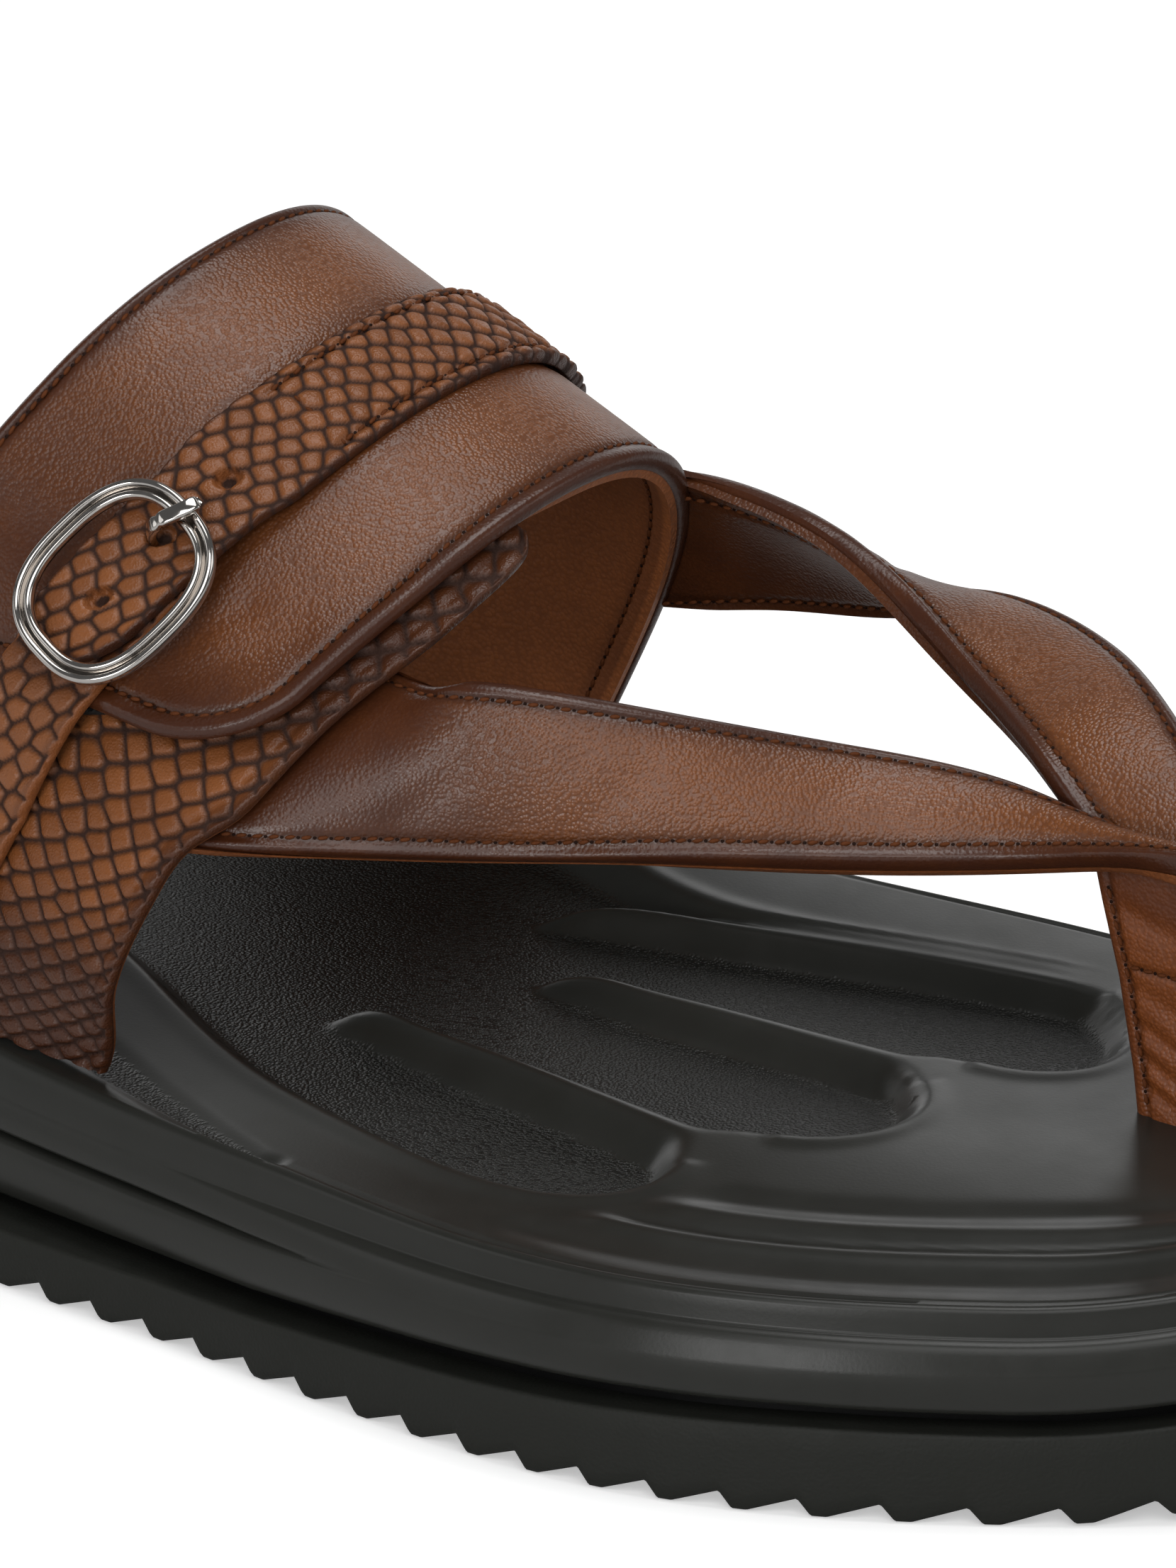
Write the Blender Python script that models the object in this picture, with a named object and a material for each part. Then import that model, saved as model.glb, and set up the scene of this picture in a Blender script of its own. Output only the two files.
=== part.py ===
"""A right-foot leather toe-post slipper on a ripple sole, modelled at its real size.

Sizes are in millimetres from the heel end (x towards the toe, y towards the medial side, z up from the
ground) and become metres around the middle of the sole when a mesh is made.
"""

import math

import bmesh
import bpy
import numpy as np
from mathutils import Vector

MM = 0.001
GAP = 0.3

# Sole outline, seen from above, anticlockwise from the middle of the heel
TOE_END = 284.5
OUTLINE = [
    # x, y
    (0.0, -1.0),
    (6.0, -20.0),
    (20.0, -33.0),
    (48.0, -40.0),
    (80.0, -43.5),
    (115.0, -49.0),
    (150.0, -53.8),
    (190.0, -58.0),
    (212.0, -56.6),
    (232.0, -49.6),
    (252.0, -37.2),
    (269.0, -22.0),
    (281.0, -1.0),
    (TOE_END, 15.0),
    (281.0, 31.0),
    (268.0, 44.0),
    (248.0, 52.0),
    (222.0, 56.0),
    (195.0, 54.0),
    (160.0, 47.6),
    (125.0, 42.0),
    (90.0, 38.5),
    (50.0, 37.5),
    (21.0, 32.0),
    (6.0, 19.0),
]
OUTLINE_STEPS = 88

# Outsole
TOOTH_PITCH = 7.63
TOOTH_DEPTH = 1.8
TOOTH_LAND = 1.5
TOOTH_FACE = 1.3
MIDDLE_TIP = 134.2
TEETH_BEHIND, TEETH_AHEAD = 18, 20
OUTSOLE_TOP = 9.0
OUTSOLE_LIP = 0.5
TOE_SPRING_FROM = 250.0
TOE_SPRING_RISE = 7.0
HEEL_BEVEL_TO = 26.0
HEEL_BEVEL_RISE = 3.5
WAIST_FROM, WAIST_TO = 72.0, 128.0
WAIST_RISE = 2.0

# Blanks that the outline trims reach past it: half their width, and their lowest and highest level
BLANK_SIDE = 80.0
BLANK_LOW, BLANK_HIGH = -5.0, 60.0

# Footbed side wall: height over the outsole's top as a share of the wall, and distance in from the outline
WALL_PROFILE = [
    # share, inset
    (0.00, 3.2),
    (0.11, 3.2),
    (0.13, 0.2),
    (0.35, -0.6),
    (0.62, 0.0),
    (0.70, 0.6),
    (0.74, 1.1),
    (0.97, 1.3),
]
TOP_RINGS = 9
TOP_RING_END = 0.94
RIM_INSET = 2.4
DISH_END = 0.75
RIM_BLEND = 20.0
SPINE_HEEL = (36.0, -1.0)
SPINE_TOE = (244.0, 9.0)
RIM_HEIGHT = [
    # x, lateral, medial
    (0.0, 35.0, 35.0),
    (40.0, 34.0, 34.5),
    (80.0, 31.0, 33.5),
    (110.0, 28.6, 31.5),
    (140.0, 26.6, 28.8),
    (170.0, 25.0, 27.0),
    (200.0, 24.2, 25.8),
    (240.0, 24.2, 24.6),
    (285.0, 24.4, 24.4),
]
BED_HEIGHT = [
    # x, height along the spine
    (0.0, 32.0),
    (40.0, 29.5),
    (80.0, 29.0),
    (110.0, 27.8),
    (140.0, 26.0),
    (170.0, 25.2),
    (200.0, 25.0),
    (240.0, 25.4),
    (285.0, 25.6),
]

# Textured recess in the footbed: a main field and finger troughs that taper from root to end
RECESS_DEPTH = 1.8
RECESS_LID = 12.0
RECESS_STEPS = 48
FINGER_SIDES = 20
RECESS_FIELD = [
    # x, near side y, far side y
    (34.0, -9.0, 16.0),
    (60.0, -14.0, 25.0),
    (90.0, -13.0, 28.5),
    (113.0, -16.0, 31.5),
    (126.0, -23.0, 33.5),
    (140.0, -30.0, 35.0),
    (147.0, -33.5, 35.2),
]
RECESS_FINGERS = [
    # root x, root y, root radius, end x, end y, end radius
    (148.0, -24.0, 8.6, 186.5, -30.8, 10.0),
    (148.0, -3.2, 9.0, 199.5, -4.8, 9.6),
    (146.0, 15.6, 6.2, 207.5, 23.6, 9.4),
    (145.0, 30.5, 4.4, 162.0, 34.4, 2.0),
]

# Instep form: the inner face of the upper, from the medial base over the instep to the lateral base,
# in a back and a front section that lean forward
SECTION_LEAN = 0.5
SECTION_FOOT = 25.0
BACK_SECTION, FRONT_SECTION = 78.0, 133.0
INSTEP = [
    # v, back y, back z, front y, front z
    (0.00, 32.0, 28.0, 38.0, 26.0),
    (0.09, 33.5, 48.0, 36.2, 41.0),
    (0.18, 31.5, 67.0, 33.6, 54.0),
    (0.26, 27.5, 83.0, 29.8, 64.5),
    (0.34, 19.5, 95.0, 23.5, 73.5),
    (0.42, 8.0, 101.2, 14.5, 79.0),
    (0.50, -5.0, 101.0, 3.0, 79.6),
    (0.58, -18.0, 96.4, -9.0, 76.5),
    (0.66, -29.0, 86.8, -21.0, 70.5),
    (0.74, -36.0, 73.5, -33.0, 62.5),
    (0.82, -39.5, 58.5, -42.5, 52.0),
    (0.91, -40.0, 42.0, -47.0, 39.0),
    (1.00, -38.0, 28.0, -46.5, 25.0),
]

# The form's size along u, and along v at the buckle
MM_PER_U, MM_PER_V = 50.0, 220.0

# Leather layers, as offsets out from the instep form
QUARTER_WALL = 2.4
BAND_LAYERS = [
    # v, inner face, outer face
    (-0.05, 0.0, 2.6),
    (0.10, 0.0, 2.9),
    (0.36, 1.5, 5.0),
    (0.52, 2.2, 5.0),
    (1.00, 2.2, 5.0),
]
BAND_FROM, BAND_TO = -0.012, 0.776
BAND_FRONT = [
    # v, u of the front edge
    (-0.02, 0.93),
    (0.12, 0.955),
    (0.28, 0.99),
    (0.45, 0.99),
    (0.80, 1.00),
]
FLAP_CORNER_V, FLAP_CORNER_U = 0.052, 0.24
QUARTER_FROM, QUARTER_TO = 0.545, 1.012
QUARTER_EDGES = [
    # v, back edge u, front edge u
    (0.54, 0.55, 0.98),
    (0.58, 0.40, 1.05),
    (0.65, 0.22, 1.07),
    (0.72, 0.10, 1.057),
    (0.78, 0.05, 1.045),
    (0.83, 0.02, 1.012),
    (0.87, 0.00, 1.018),
    (0.92, -0.02, 1.04),
    (0.97, -0.04, 1.084),
    (1.05, -0.05, 1.10),
]
GROOVE_DEPTH_V = 0.02
GROOVE_CLEARANCE = GAP + 0.05
QUARTER_GROOVE_FROM, BAND_GROOVE_TO = 0.90, 0.08

# Columns and rows of each sheet's grid
BAND_GRID = (10, 40)
QUARTER_GRID = (14, 24)
GROOVE_ROWS = 6
STRAP_COLUMNS = 5
LATERAL_ROWS, MEDIAL_ROWS = 26, 28
BELT_GRID = (6, 36)
TAB_GRID = (5, 18)
PRONG_GRID = (2, 5)

# Toe straps: lower or outer edge and upper or inner edge, from inside the upper to the toe post
STRAP_WALL = 3.0
STRAP_CROWN = 1.4
LATERAL_STRAP = [
    # edge x, y, z, other edge x, y, z
    (139.6, -44.3, 51.8, 146.2, -36.4, 63.6),
    (150.5, -39.8, 54.2, 158.0, -29.8, 70.2),
    (168.0, -31.0, 51.5, 168.2, -26.0, 70.4),
    (189.4, -16.5, 52.1, 185.0, -11.0, 66.8),
    (207.2, -2.0, 51.7, 198.5, 3.5, 62.2),
    (222.7, 8.5, 51.6, 213.4, 13.5, 58.1),
    (236.0, 12.0, 52.0, 229.5, 17.5, 53.5),
    (247.0, 13.0, 51.0, 245.0, 17.0, 51.6),
]
MEDIAL_STRAP = [
    # edge x, y, z, other edge x, y, z
    (150.0, 26.0, 76.0, 137.0, 35.4, 55.5),
    (157.6, 27.6, 77.0, 147.4, 36.6, 57.8),
    (169.7, 28.0, 76.0, 161.5, 38.8, 60.7),
    (181.2, 27.0, 72.7, 176.8, 38.5, 63.5),
    (195.8, 23.0, 66.0, 192.5, 39.0, 67.0),
    (206.0, 19.0, 62.3, 206.5, 36.0, 67.0),
    (219.7, 12.0, 58.2, 224.5, 26.0, 64.8),
    (233.0, 8.6, 52.6, 239.5, 17.0, 57.5),
    (245.0, 10.0, 49.6, 247.5, 14.0, 51.6),
]

# Toe post: a folded leather ribbon, wide along the foot
POST_FOOT = 22.6
POST_HEAD = 52.0
POST_REAR_FOOT, POST_REAR_HEAD = 229.7, 223.6
POST_FRONT_FOOT, POST_FRONT_HEAD = 243.0, 246.0
POST_MIDDLE = 13.0
POST_THICK = 4.0

# Belt strap, tab and buckle, in the instep form's u and v
BELT_BACK, BELT_FRONT = 0.365, 0.64
BELT_FROM, BELT_TO = 0.13, 0.757
BELT_WALL = 1.8
BELT_LIFT = [
    # v, underside
    (0.00, 4.2),
    (0.10, 4.4),
    (0.36, 5.35),
    (0.60, 5.35),
    (0.69, 7.45),
    (0.80, 7.45),
]
BELT_TIP_V, BELT_TIP_ROUND = 0.03, 0.75
BELT_NARROW_FROM, BELT_NARROW_TO, BELT_NARROW = 0.62, 0.65, 0.9
BELT_HOLES = [0.633, 0.6785, 0.722]
BELT_HOLE_RADIUS = 1.5
PUNCH_SIDES, PUNCH_LENGTH = 12, 12.0
TAB_BACK, TAB_FRONT = 0.375, 0.625
TAB_FROM, TAB_TO = 0.70, 0.965
TAB_WALL = 1.7
TAB_LIFT = [
    # v, underside
    (0.68, 5.35),
    (0.785, 5.35),
    (0.85, 2.75),
    (1.00, 2.75),
]
RING_TOP = (0.50, 0.6606, 11.0)
RING_FOOT = (0.485, 0.7544, 11.0)
RING_HALF_WIDTH = 8.1
RING_CORNER = 6.4
RING_WIRE = 1.35
RING_CORNER_STEPS = 7
PRONG_PATH = [
    # v, underside
    (0.6770, 7.6),
    (0.6765, 10.0),
    (0.6735, 12.0),
    (0.6680, 12.85),
    (0.6580, 12.85),
    (0.6510, 12.2),
]
PRONG_WIDTH, PRONG_THICK = 2.0, 1.1


def spline(knots, rows):
    """A natural cubic curve through rows at knots, as a function of the knot value."""
    knots = np.asarray(knots, float)
    rows = np.asarray(rows, float)
    count = len(knots)
    step = np.diff(knots)
    matrix = np.eye(count)
    right = np.zeros(rows.shape)
    for i in range(1, count - 1):
        matrix[i, i - 1 : i + 2] = step[i - 1], 2 * (step[i - 1] + step[i]), step[i]
        right[i] = 6 * ((rows[i + 1] - rows[i]) / step[i] - (rows[i] - rows[i - 1]) / step[i - 1])
    bend = np.linalg.solve(matrix, right)

    def at(value):
        value = np.atleast_1d(np.asarray(value, float))
        i = np.clip(np.searchsorted(knots, value) - 1, 0, count - 2)
        h = step[i][:, None]
        a = (knots[i + 1] - value)[:, None]
        b = (value - knots[i])[:, None]
        curve = (bend[i] * a**3 + bend[i + 1] * b**3) / (6 * h)
        return curve + (rows[i] / h - bend[i] * h / 6) * a + (rows[i + 1] / h - bend[i + 1] * h / 6) * b

    return at


def column(table, value, index):
    """Straight interpolation in one column of a table whose first column is the knot."""
    table = np.asarray(table, float)
    return np.interp(value, table[:, 0], table[:, index])


def smooth_column(table, index):
    table = np.asarray(table, float)
    curve = spline(table[:, 0], table[:, index : index + 1])
    return lambda value: curve(value)[:, 0]


def ease(value, low, high):
    share = np.clip((np.asarray(value, float) - low) / (high - low), 0.0, 1.0)
    return share * share * (3 - 2 * share)


def closed_outline(points, count):
    """Evenly spaced points on a smooth closed curve through points."""
    points = np.asarray(points, float)
    wrap = 4
    ring = np.concatenate([points[-wrap:], points, points[: wrap + 1]])
    chord = np.concatenate([[0.0], np.cumsum(np.linalg.norm(np.diff(ring, axis=0), axis=1))])
    curve = spline(chord, ring)
    fine = curve(np.linspace(chord[wrap], chord[-wrap - 1], 20 * count + 1))
    walk = np.concatenate([[0.0], np.cumsum(np.linalg.norm(np.diff(fine, axis=0), axis=1))])
    even = np.linspace(0.0, walk[-1], count, endpoint=False)
    return np.stack([np.interp(even, walk, fine[:, 0]), np.interp(even, walk, fine[:, 1])], axis=1)


def grown(outline, distance):
    """The outline moved outwards by a distance."""
    along = np.roll(outline, -1, axis=0) - np.roll(outline, 1, axis=0)
    along /= np.linalg.norm(along, axis=1)[:, None]
    return outline + distance * np.stack([along[:, 1], -along[:, 0]], axis=1)


RIM = closed_outline(OUTLINE, OUTLINE_STEPS)
MIDDLE = np.append((grown(RIM, OUTSOLE_LIP).min(axis=0) + grown(RIM, OUTSOLE_LIP).max(axis=0)) / 2, 0.0)


def metres(points):
    """Shoe millimetres to metres around the middle of the sole."""
    return (np.asarray(points, float) - MIDDLE) * MM


def bed_rise(x):
    """How far the footbed follows the toe spring."""
    share = np.clip((np.asarray(x, float) - TOE_SPRING_FROM) / (TOE_END - TOE_SPRING_FROM), 0, 1)
    return TOE_SPRING_RISE * share**2


def ground_rise(x):
    """How far the ground side of the sole lifts: toe spring, heel bevel and waist."""
    x = np.asarray(x, float)
    heel = HEEL_BEVEL_RISE * np.clip((HEEL_BEVEL_TO - x) / HEEL_BEVEL_TO, 0, 1) ** 2
    waist = WAIST_RISE * np.sin(np.pi * np.clip((x - WAIST_FROM) / (WAIST_TO - WAIST_FROM), 0, 1)) ** 2
    return bed_rise(x) + heel + waist


rim_lateral = smooth_column(RIM_HEIGHT, 1)
rim_medial = smooth_column(RIM_HEIGHT, 2)
bed_spine = smooth_column(BED_HEIGHT, 1)


def rim_height(x, y):
    medial = ease(y, -RIM_BLEND, RIM_BLEND)
    return rim_lateral(x) * (1 - medial) + rim_medial(x) * medial + bed_rise(x)


def instep(u, v, offset):
    """A point of the upper: u from the back edge to the front, v from medial to lateral base."""
    u, v, offset = (np.ravel(a) for a in np.broadcast_arrays(np.asarray(u, float), v, offset))

    def form(u, v):
        row = INSTEP_CURVE(v)
        y = row[:, 0] * (1 - u) + row[:, 2] * u
        z = row[:, 1] * (1 - u) + row[:, 3] * u
        x = BACK_SECTION + (FRONT_SECTION - BACK_SECTION) * u + SECTION_LEAN * (z - SECTION_FOOT)
        return np.stack([x, y, z], axis=1)

    nudge = 1e-3
    across = form(u + nudge, v) - form(u - nudge, v)
    around = form(u, v + nudge) - form(u, v - nudge)
    normal = np.cross(around, across)
    normal /= np.linalg.norm(normal, axis=1)[:, None]
    return form(u, v) + normal * offset[:, None]


INSTEP_CURVE = spline([row[0] for row in INSTEP], [row[1:] for row in INSTEP])

for old in list(bpy.data.objects):
    bpy.data.objects.remove(old)
PARTS = bpy.data.collections.new("toe_post_slipper")
TOOLS = bpy.data.collections.new("cutters")
for group in (PARTS, TOOLS):
    bpy.context.scene.collection.children.link(group)


def material(name, colour, roughness, metallic=0.0):
    made = bpy.data.materials.new(name)
    made.use_nodes = True
    shader = made.node_tree.nodes["Principled BSDF"]
    shader.inputs["Base Color"].default_value = (*colour, 1.0)
    shader.inputs["Roughness"].default_value = roughness
    shader.inputs["Metallic"].default_value = metallic
    return made


def solid(name, shape, look=None):
    """An object from a bmesh: a part when it has a material, else a cutter."""
    bmesh.ops.recalc_face_normals(shape, faces=shape.faces[:])
    if shape.calc_volume(signed=True) < 0:
        bmesh.ops.reverse_faces(shape, faces=shape.faces[:])
    mesh = bpy.data.meshes.new(name)
    shape.to_mesh(mesh)
    shape.free()
    made = bpy.data.objects.new(name, mesh)
    if look is None:
        TOOLS.objects.link(made)
        made.hide_render = True
        made.display_type = "WIRE"
    else:
        PARTS.objects.link(made)
        mesh.materials.append(look)
        mesh.shade_smooth()
        mesh.set_sharp_from_angle(angle=math.radians(35))
    return made


def combine(target, other, operation):
    step = target.modifiers.new(f"{operation.lower()}_{other.name}", "BOOLEAN")
    step.operation = operation
    step.object = other
    step.solver = "EXACT"
    return target


def sheet(columns, rows, place):
    """A closed sheet: place(s, t, outside) gives points for s, t in 0..1 on the inside and the outside."""
    shape = bmesh.new()
    bmesh.ops.create_grid(shape, x_segments=columns, y_segments=rows, size=0.5)
    raised = bmesh.ops.extrude_face_region(shape, geom=shape.faces[:], use_keep_orig=True)
    outside = {item for item in raised["geom"] if isinstance(item, bmesh.types.BMVert)}
    corners = np.array([(p.co.x + 0.5, p.co.y + 0.5) for p in shape.verts])
    flags = np.array([p in outside for p in shape.verts])
    inner = place(corners[:, 0], corners[:, 1], False)
    outer = place(corners[:, 0], corners[:, 1], True)
    for point, position in zip(shape.verts, metres(np.where(flags[:, None], outer, inner))):
        point.co = position
    return shape


def prism(outline):
    """An upright prism over a plan outline, through the whole sole."""
    shape = bmesh.new()
    base_points = np.column_stack([outline, np.full(len(outline), BLANK_LOW)])
    loop = [shape.verts.new(p) for p in metres(base_points)]
    base = shape.faces.new(loop)
    raised = bmesh.ops.extrude_face_region(shape, geom=[base], use_keep_orig=True)
    top = [item for item in raised["geom"] if isinstance(item, bmesh.types.BMVert)]
    bmesh.ops.translate(shape, verts=top, vec=(0, 0, (BLANK_HIGH - BLANK_LOW) * MM))
    return shape


def rings(loops):
    """A closed skin through loops of equal length, bridged one after another."""
    shape = bmesh.new()
    rows = []
    for loop in loops:
        rows.append([shape.verts.new(p) for p in metres(loop)])
    count = len(rows[0])
    for low, high in zip(rows, rows[1:]):
        for i in range(count):
            j = (i + 1) % count
            shape.faces.new((low[i], low[j], high[j], high[i]))
    shape.faces.new(rows[0][::-1])
    shape.faces.new(rows[-1])
    return shape


def outsole():
    """A side profile with saw teeth, cut to the sole outline."""
    tips = np.arange(-TEETH_BEHIND, TEETH_AHEAD + 1) * TOOTH_PITCH + MIDDLE_TIP
    lower = []
    for tip in tips:
        lower.append((tip - TOOTH_FACE, TOOTH_DEPTH))
        lower.append((tip, 0.0))
        lower.append((tip + TOOTH_LAND, 0.0))
    lower = [(x, z + float(ground_rise(x))) for x, z in lower]
    upper_x = np.linspace(lower[-1][0], lower[0][0], len(tips))
    upper = [(x, OUTSOLE_TOP + float(bed_rise(x))) for x in upper_x]
    shape = bmesh.new()
    loop = [shape.verts.new(p) for p in metres([(x, -BLANK_SIDE, z) for x, z in lower + upper])]
    face = shape.faces.new(loop)
    raised = bmesh.ops.extrude_face_region(shape, geom=[face], use_keep_orig=True)
    far = [item for item in raised["geom"] if isinstance(item, bmesh.types.BMVert)]
    bmesh.ops.translate(shape, verts=far, vec=(0, 2 * BLANK_SIDE * MM, 0))
    made = solid("outsole", shape, material("rubber", (0.030, 0.031, 0.027), 0.6))
    plan = solid("outsole_plan", prism(grown(RIM, OUTSOLE_LIP)))
    return combine(made, plan, "INTERSECT")


def bed_ring(share):
    """A ring of the footbed's top, from the rim (0) to the spine (1)."""
    along = ease(RIM[:, 0], 0.0, TOE_END)
    spine_x = SPINE_HEEL[0] + (SPINE_TOE[0] - SPINE_HEEL[0]) * along
    spine_y = SPINE_HEEL[1] + (SPINE_TOE[1] - SPINE_HEEL[1]) * along
    start = grown(RIM, -RIM_INSET)
    x = start[:, 0] * (1 - share) + spine_x * share
    y = start[:, 1] * (1 - share) + spine_y * share
    rim = rim_height(RIM[:, 0], RIM[:, 1])
    middle = bed_spine(x) + bed_rise(x)
    z = rim + (middle - rim) * ease(share, 0.0, DISH_END)
    return np.stack([x, y, z], axis=1)


def footbed_loops():
    foot = OUTSOLE_TOP + GAP + bed_rise(RIM[:, 0])
    rim = rim_height(RIM[:, 0], RIM[:, 1])
    loops = []
    for share, inset in WALL_PROFILE:
        plan = grown(RIM, -inset)
        loops.append(np.column_stack([plan, foot + (rim - foot) * share]))
    top = [bed_ring(share) for share in np.linspace(0.0, TOP_RING_END, TOP_RINGS)]
    return loops, top


def finger(root_x, root_y, root_radius, end_x, end_y, end_radius):
    """An upright tapered finger: the hull of two round posts."""
    shape = bmesh.new()
    for x, y, radius in ((root_x, root_y, root_radius), (end_x, end_y, end_radius)):
        made = bmesh.ops.create_cone(
            shape,
            cap_ends=True,
            segments=FINGER_SIDES,
            radius1=radius * MM,
            radius2=radius * MM,
            depth=(BLANK_HIGH - BLANK_LOW) * MM,
        )
        centre = metres([(x, y, (BLANK_LOW + BLANK_HIGH) / 2)])[0]
        bmesh.ops.translate(shape, verts=made["verts"], vec=centre)
    hull = bmesh.ops.convex_hull(shape, input=shape.verts[:])
    spare = {item for item in hull["geom_interior"] + hull["geom_unused"]}
    points = [item for item in spare if isinstance(item, bmesh.types.BMVert)]
    bmesh.ops.delete(shape, geom=points, context="VERTS")
    bmesh.ops.dissolve_limit(shape, angle_limit=0.001, verts=shape.verts[:], edges=shape.edges[:])
    return shape


def recess():
    """The textured recess: its plan, between the footbed's top lowered and a level above it."""
    _, top = footbed_loops()
    floor = [loop - np.array([0.0, 0.0, RECESS_DEPTH]) for loop in top]
    lid = [loop + np.array([0.0, 0.0, RECESS_LID]) for loop in top]
    made = solid("recess", rings(floor[::-1] + lid))
    field = np.array(RECESS_FIELD)
    near = field[:, [0, 1]]
    far = field[::-1, [0, 2]]
    border = closed_outline(np.concatenate([near, far]), RECESS_STEPS)
    plan = solid("recess_field", prism(border))
    for number, row in enumerate(RECESS_FINGERS, 1):
        combine(plan, solid(f"recess_finger_{number}", finger(*row)), "UNION")
    return combine(made, plan, "INTERSECT")


def band_layer(v, outside):
    return column(BAND_LAYERS, v, 2 if outside else 1)


def band_front(v):
    """Front edge of the band, with the flap's corner rounded off."""
    turn = np.clip((v - (BAND_TO - FLAP_CORNER_V)) / FLAP_CORNER_V, 0.0, 1.0)
    return column(BAND_FRONT, v, 1) - FLAP_CORNER_U * (1 - np.sqrt(1 - turn**2))


def band(v_from, v_to, spread=0.0):
    """The instep band; spread grows it all round, for the groove in the footbed."""

    def place(s, t, outside):
        v = v_from + (v_to - v_from) * t
        margin = spread / MM_PER_U
        u = -margin + (band_front(v) + 2 * margin) * s
        return instep(u, v, band_layer(v, outside) + (spread if outside else -spread))

    columns, rows = BAND_GRID
    return sheet(columns, rows if spread == 0 else GROOVE_ROWS, place)


def quarter(v_from, v_to, spread=0.0):
    def place(s, t, outside):
        v = v_from + (v_to - v_from) * t
        margin = spread / MM_PER_U
        back = column(QUARTER_EDGES, v, 1) - margin
        front = column(QUARTER_EDGES, v, 2) + margin
        return instep(back + (front - back) * s, v, QUARTER_WALL + spread if outside else -spread)

    columns, rows = QUARTER_GRID
    return sheet(columns, rows if spread == 0 else GROOVE_ROWS, place)


def strap(table, rows, outward):
    """A strap between two edges, crowned across, with its thickness on the foot's side."""
    table = np.asarray(table, float)
    middles = (table[:, :3] + table[:, 3:]) / 2
    knots = np.concatenate([[0.0], np.cumsum(np.linalg.norm(np.diff(middles, axis=0), axis=1))])
    edges = spline(knots, table)

    def place(s, t, outside):
        row = edges(t * knots[-1])
        point = row[:, :3] * (1 - s[:, None]) + row[:, 3:] * s[:, None]
        ahead = edges(t * knots[-1] + 0.5) - edges(t * knots[-1] - 0.5)
        along = ahead[:, :3] * (1 - s[:, None]) + ahead[:, 3:] * s[:, None]
        normal = np.cross(along, row[:, 3:] - row[:, :3]) * outward
        normal /= np.linalg.norm(normal, axis=1)[:, None]
        crown = STRAP_CROWN * 4 * s * (1 - s) - (0.0 if outside else STRAP_WALL)
        return point + normal * crown[:, None]

    return sheet(STRAP_COLUMNS, rows, place)


def toe_post(spread=0.0, foot=POST_FOOT):
    """A block that widens towards the straps."""
    shape = bmesh.new()
    bmesh.ops.create_cube(shape, size=1.0)
    for point in shape.verts:
        high = point.co.z > 0
        front = point.co.x > 0
        if high:
            x = POST_FRONT_HEAD if front else POST_REAR_HEAD
        else:
            x = POST_FRONT_FOOT if front else POST_REAR_FOOT
        x += spread if front else -spread
        y = POST_MIDDLE + math.copysign(POST_THICK / 2 + spread, point.co.y)
        point.co = metres([(x, y, POST_HEAD if high else foot)])[0]
    return shape


def footbed():
    wall, top = footbed_loops()
    made = solid("footbed", rings(wall + top), material("moulded_foam", (0.032, 0.032, 0.030), 0.5))
    combine(made, recess(), "DIFFERENCE")
    grooves = {
        "quarter_groove": quarter(QUARTER_GROOVE_FROM, QUARTER_TO + GROOVE_DEPTH_V, GROOVE_CLEARANCE),
        "band_groove": band(BAND_FROM - GROOVE_DEPTH_V, BAND_GROOVE_TO, GROOVE_CLEARANCE),
        "post_slot": toe_post(GROOVE_CLEARANCE, POST_FOOT - GAP),
    }
    for name, shape in grooves.items():
        combine(made, solid(name, shape), "DIFFERENCE")
    return made


def upper():
    """Band, quarter, toe straps and post sewn into one piece."""
    made = solid("upper", band(BAND_FROM, BAND_TO), material("leather", (0.20, 0.085, 0.035), 0.45))
    combine(made, solid("quarter", quarter(QUARTER_FROM, QUARTER_TO)), "UNION")
    combine(made, solid("lateral_strap", strap(LATERAL_STRAP, LATERAL_ROWS, 1.0)), "UNION")
    combine(made, solid("medial_strap", strap(MEDIAL_STRAP, MEDIAL_ROWS, -1.0)), "UNION")
    return combine(made, solid("toe_post", toe_post()), "UNION")


def belt_strap():
    middle = (BELT_BACK + BELT_FRONT) / 2
    half = (BELT_FRONT - BELT_BACK) / 2

    def place(s, t, outside):
        v = BELT_FROM + (BELT_TO - BELT_FROM) * t
        tip = np.clip((v - (BELT_TO - BELT_TIP_V)) / BELT_TIP_V, 0.0, 1.0)
        width = half * (1 - (1 - BELT_NARROW) * ease(v, BELT_NARROW_FROM, BELT_NARROW_TO))
        width = width * np.sqrt(1 - BELT_TIP_ROUND * tip**2)
        lift = column(BELT_LIFT, v, 1) + (BELT_WALL if outside else 0.0)
        return instep(middle + width * (2 * s - 1), v, lift)

    look = material("embossed_leather", (0.21, 0.09, 0.04), 0.4)
    made = solid("belt_strap", sheet(*BELT_GRID, place), look)
    for number, v in enumerate(BELT_HOLES, 1):
        ends = instep(middle, v, [0.0, 20.0])
        shape = bmesh.new()
        punch = bmesh.ops.create_cone(
            shape,
            cap_ends=True,
            segments=PUNCH_SIDES,
            radius1=BELT_HOLE_RADIUS * MM,
            radius2=BELT_HOLE_RADIUS * MM,
            depth=PUNCH_LENGTH * MM,
        )
        axis = ends[1] - ends[0]
        tilt = turn_to(axis).to_matrix()
        bmesh.ops.rotate(shape, verts=punch["verts"], cent=(0, 0, 0), matrix=tilt)
        centre = ends[0] + axis / np.linalg.norm(axis) * column(BELT_LIFT, v, 1)
        bmesh.ops.translate(shape, verts=punch["verts"], vec=metres([centre])[0])
        combine(made, solid(f"belt_punch_{number}", shape), "DIFFERENCE")
    return made


def turn_to(direction):
    """The turn from +Z to a direction."""
    return Vector((0, 0, 1)).rotation_difference(Vector(direction).normalized())


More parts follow.
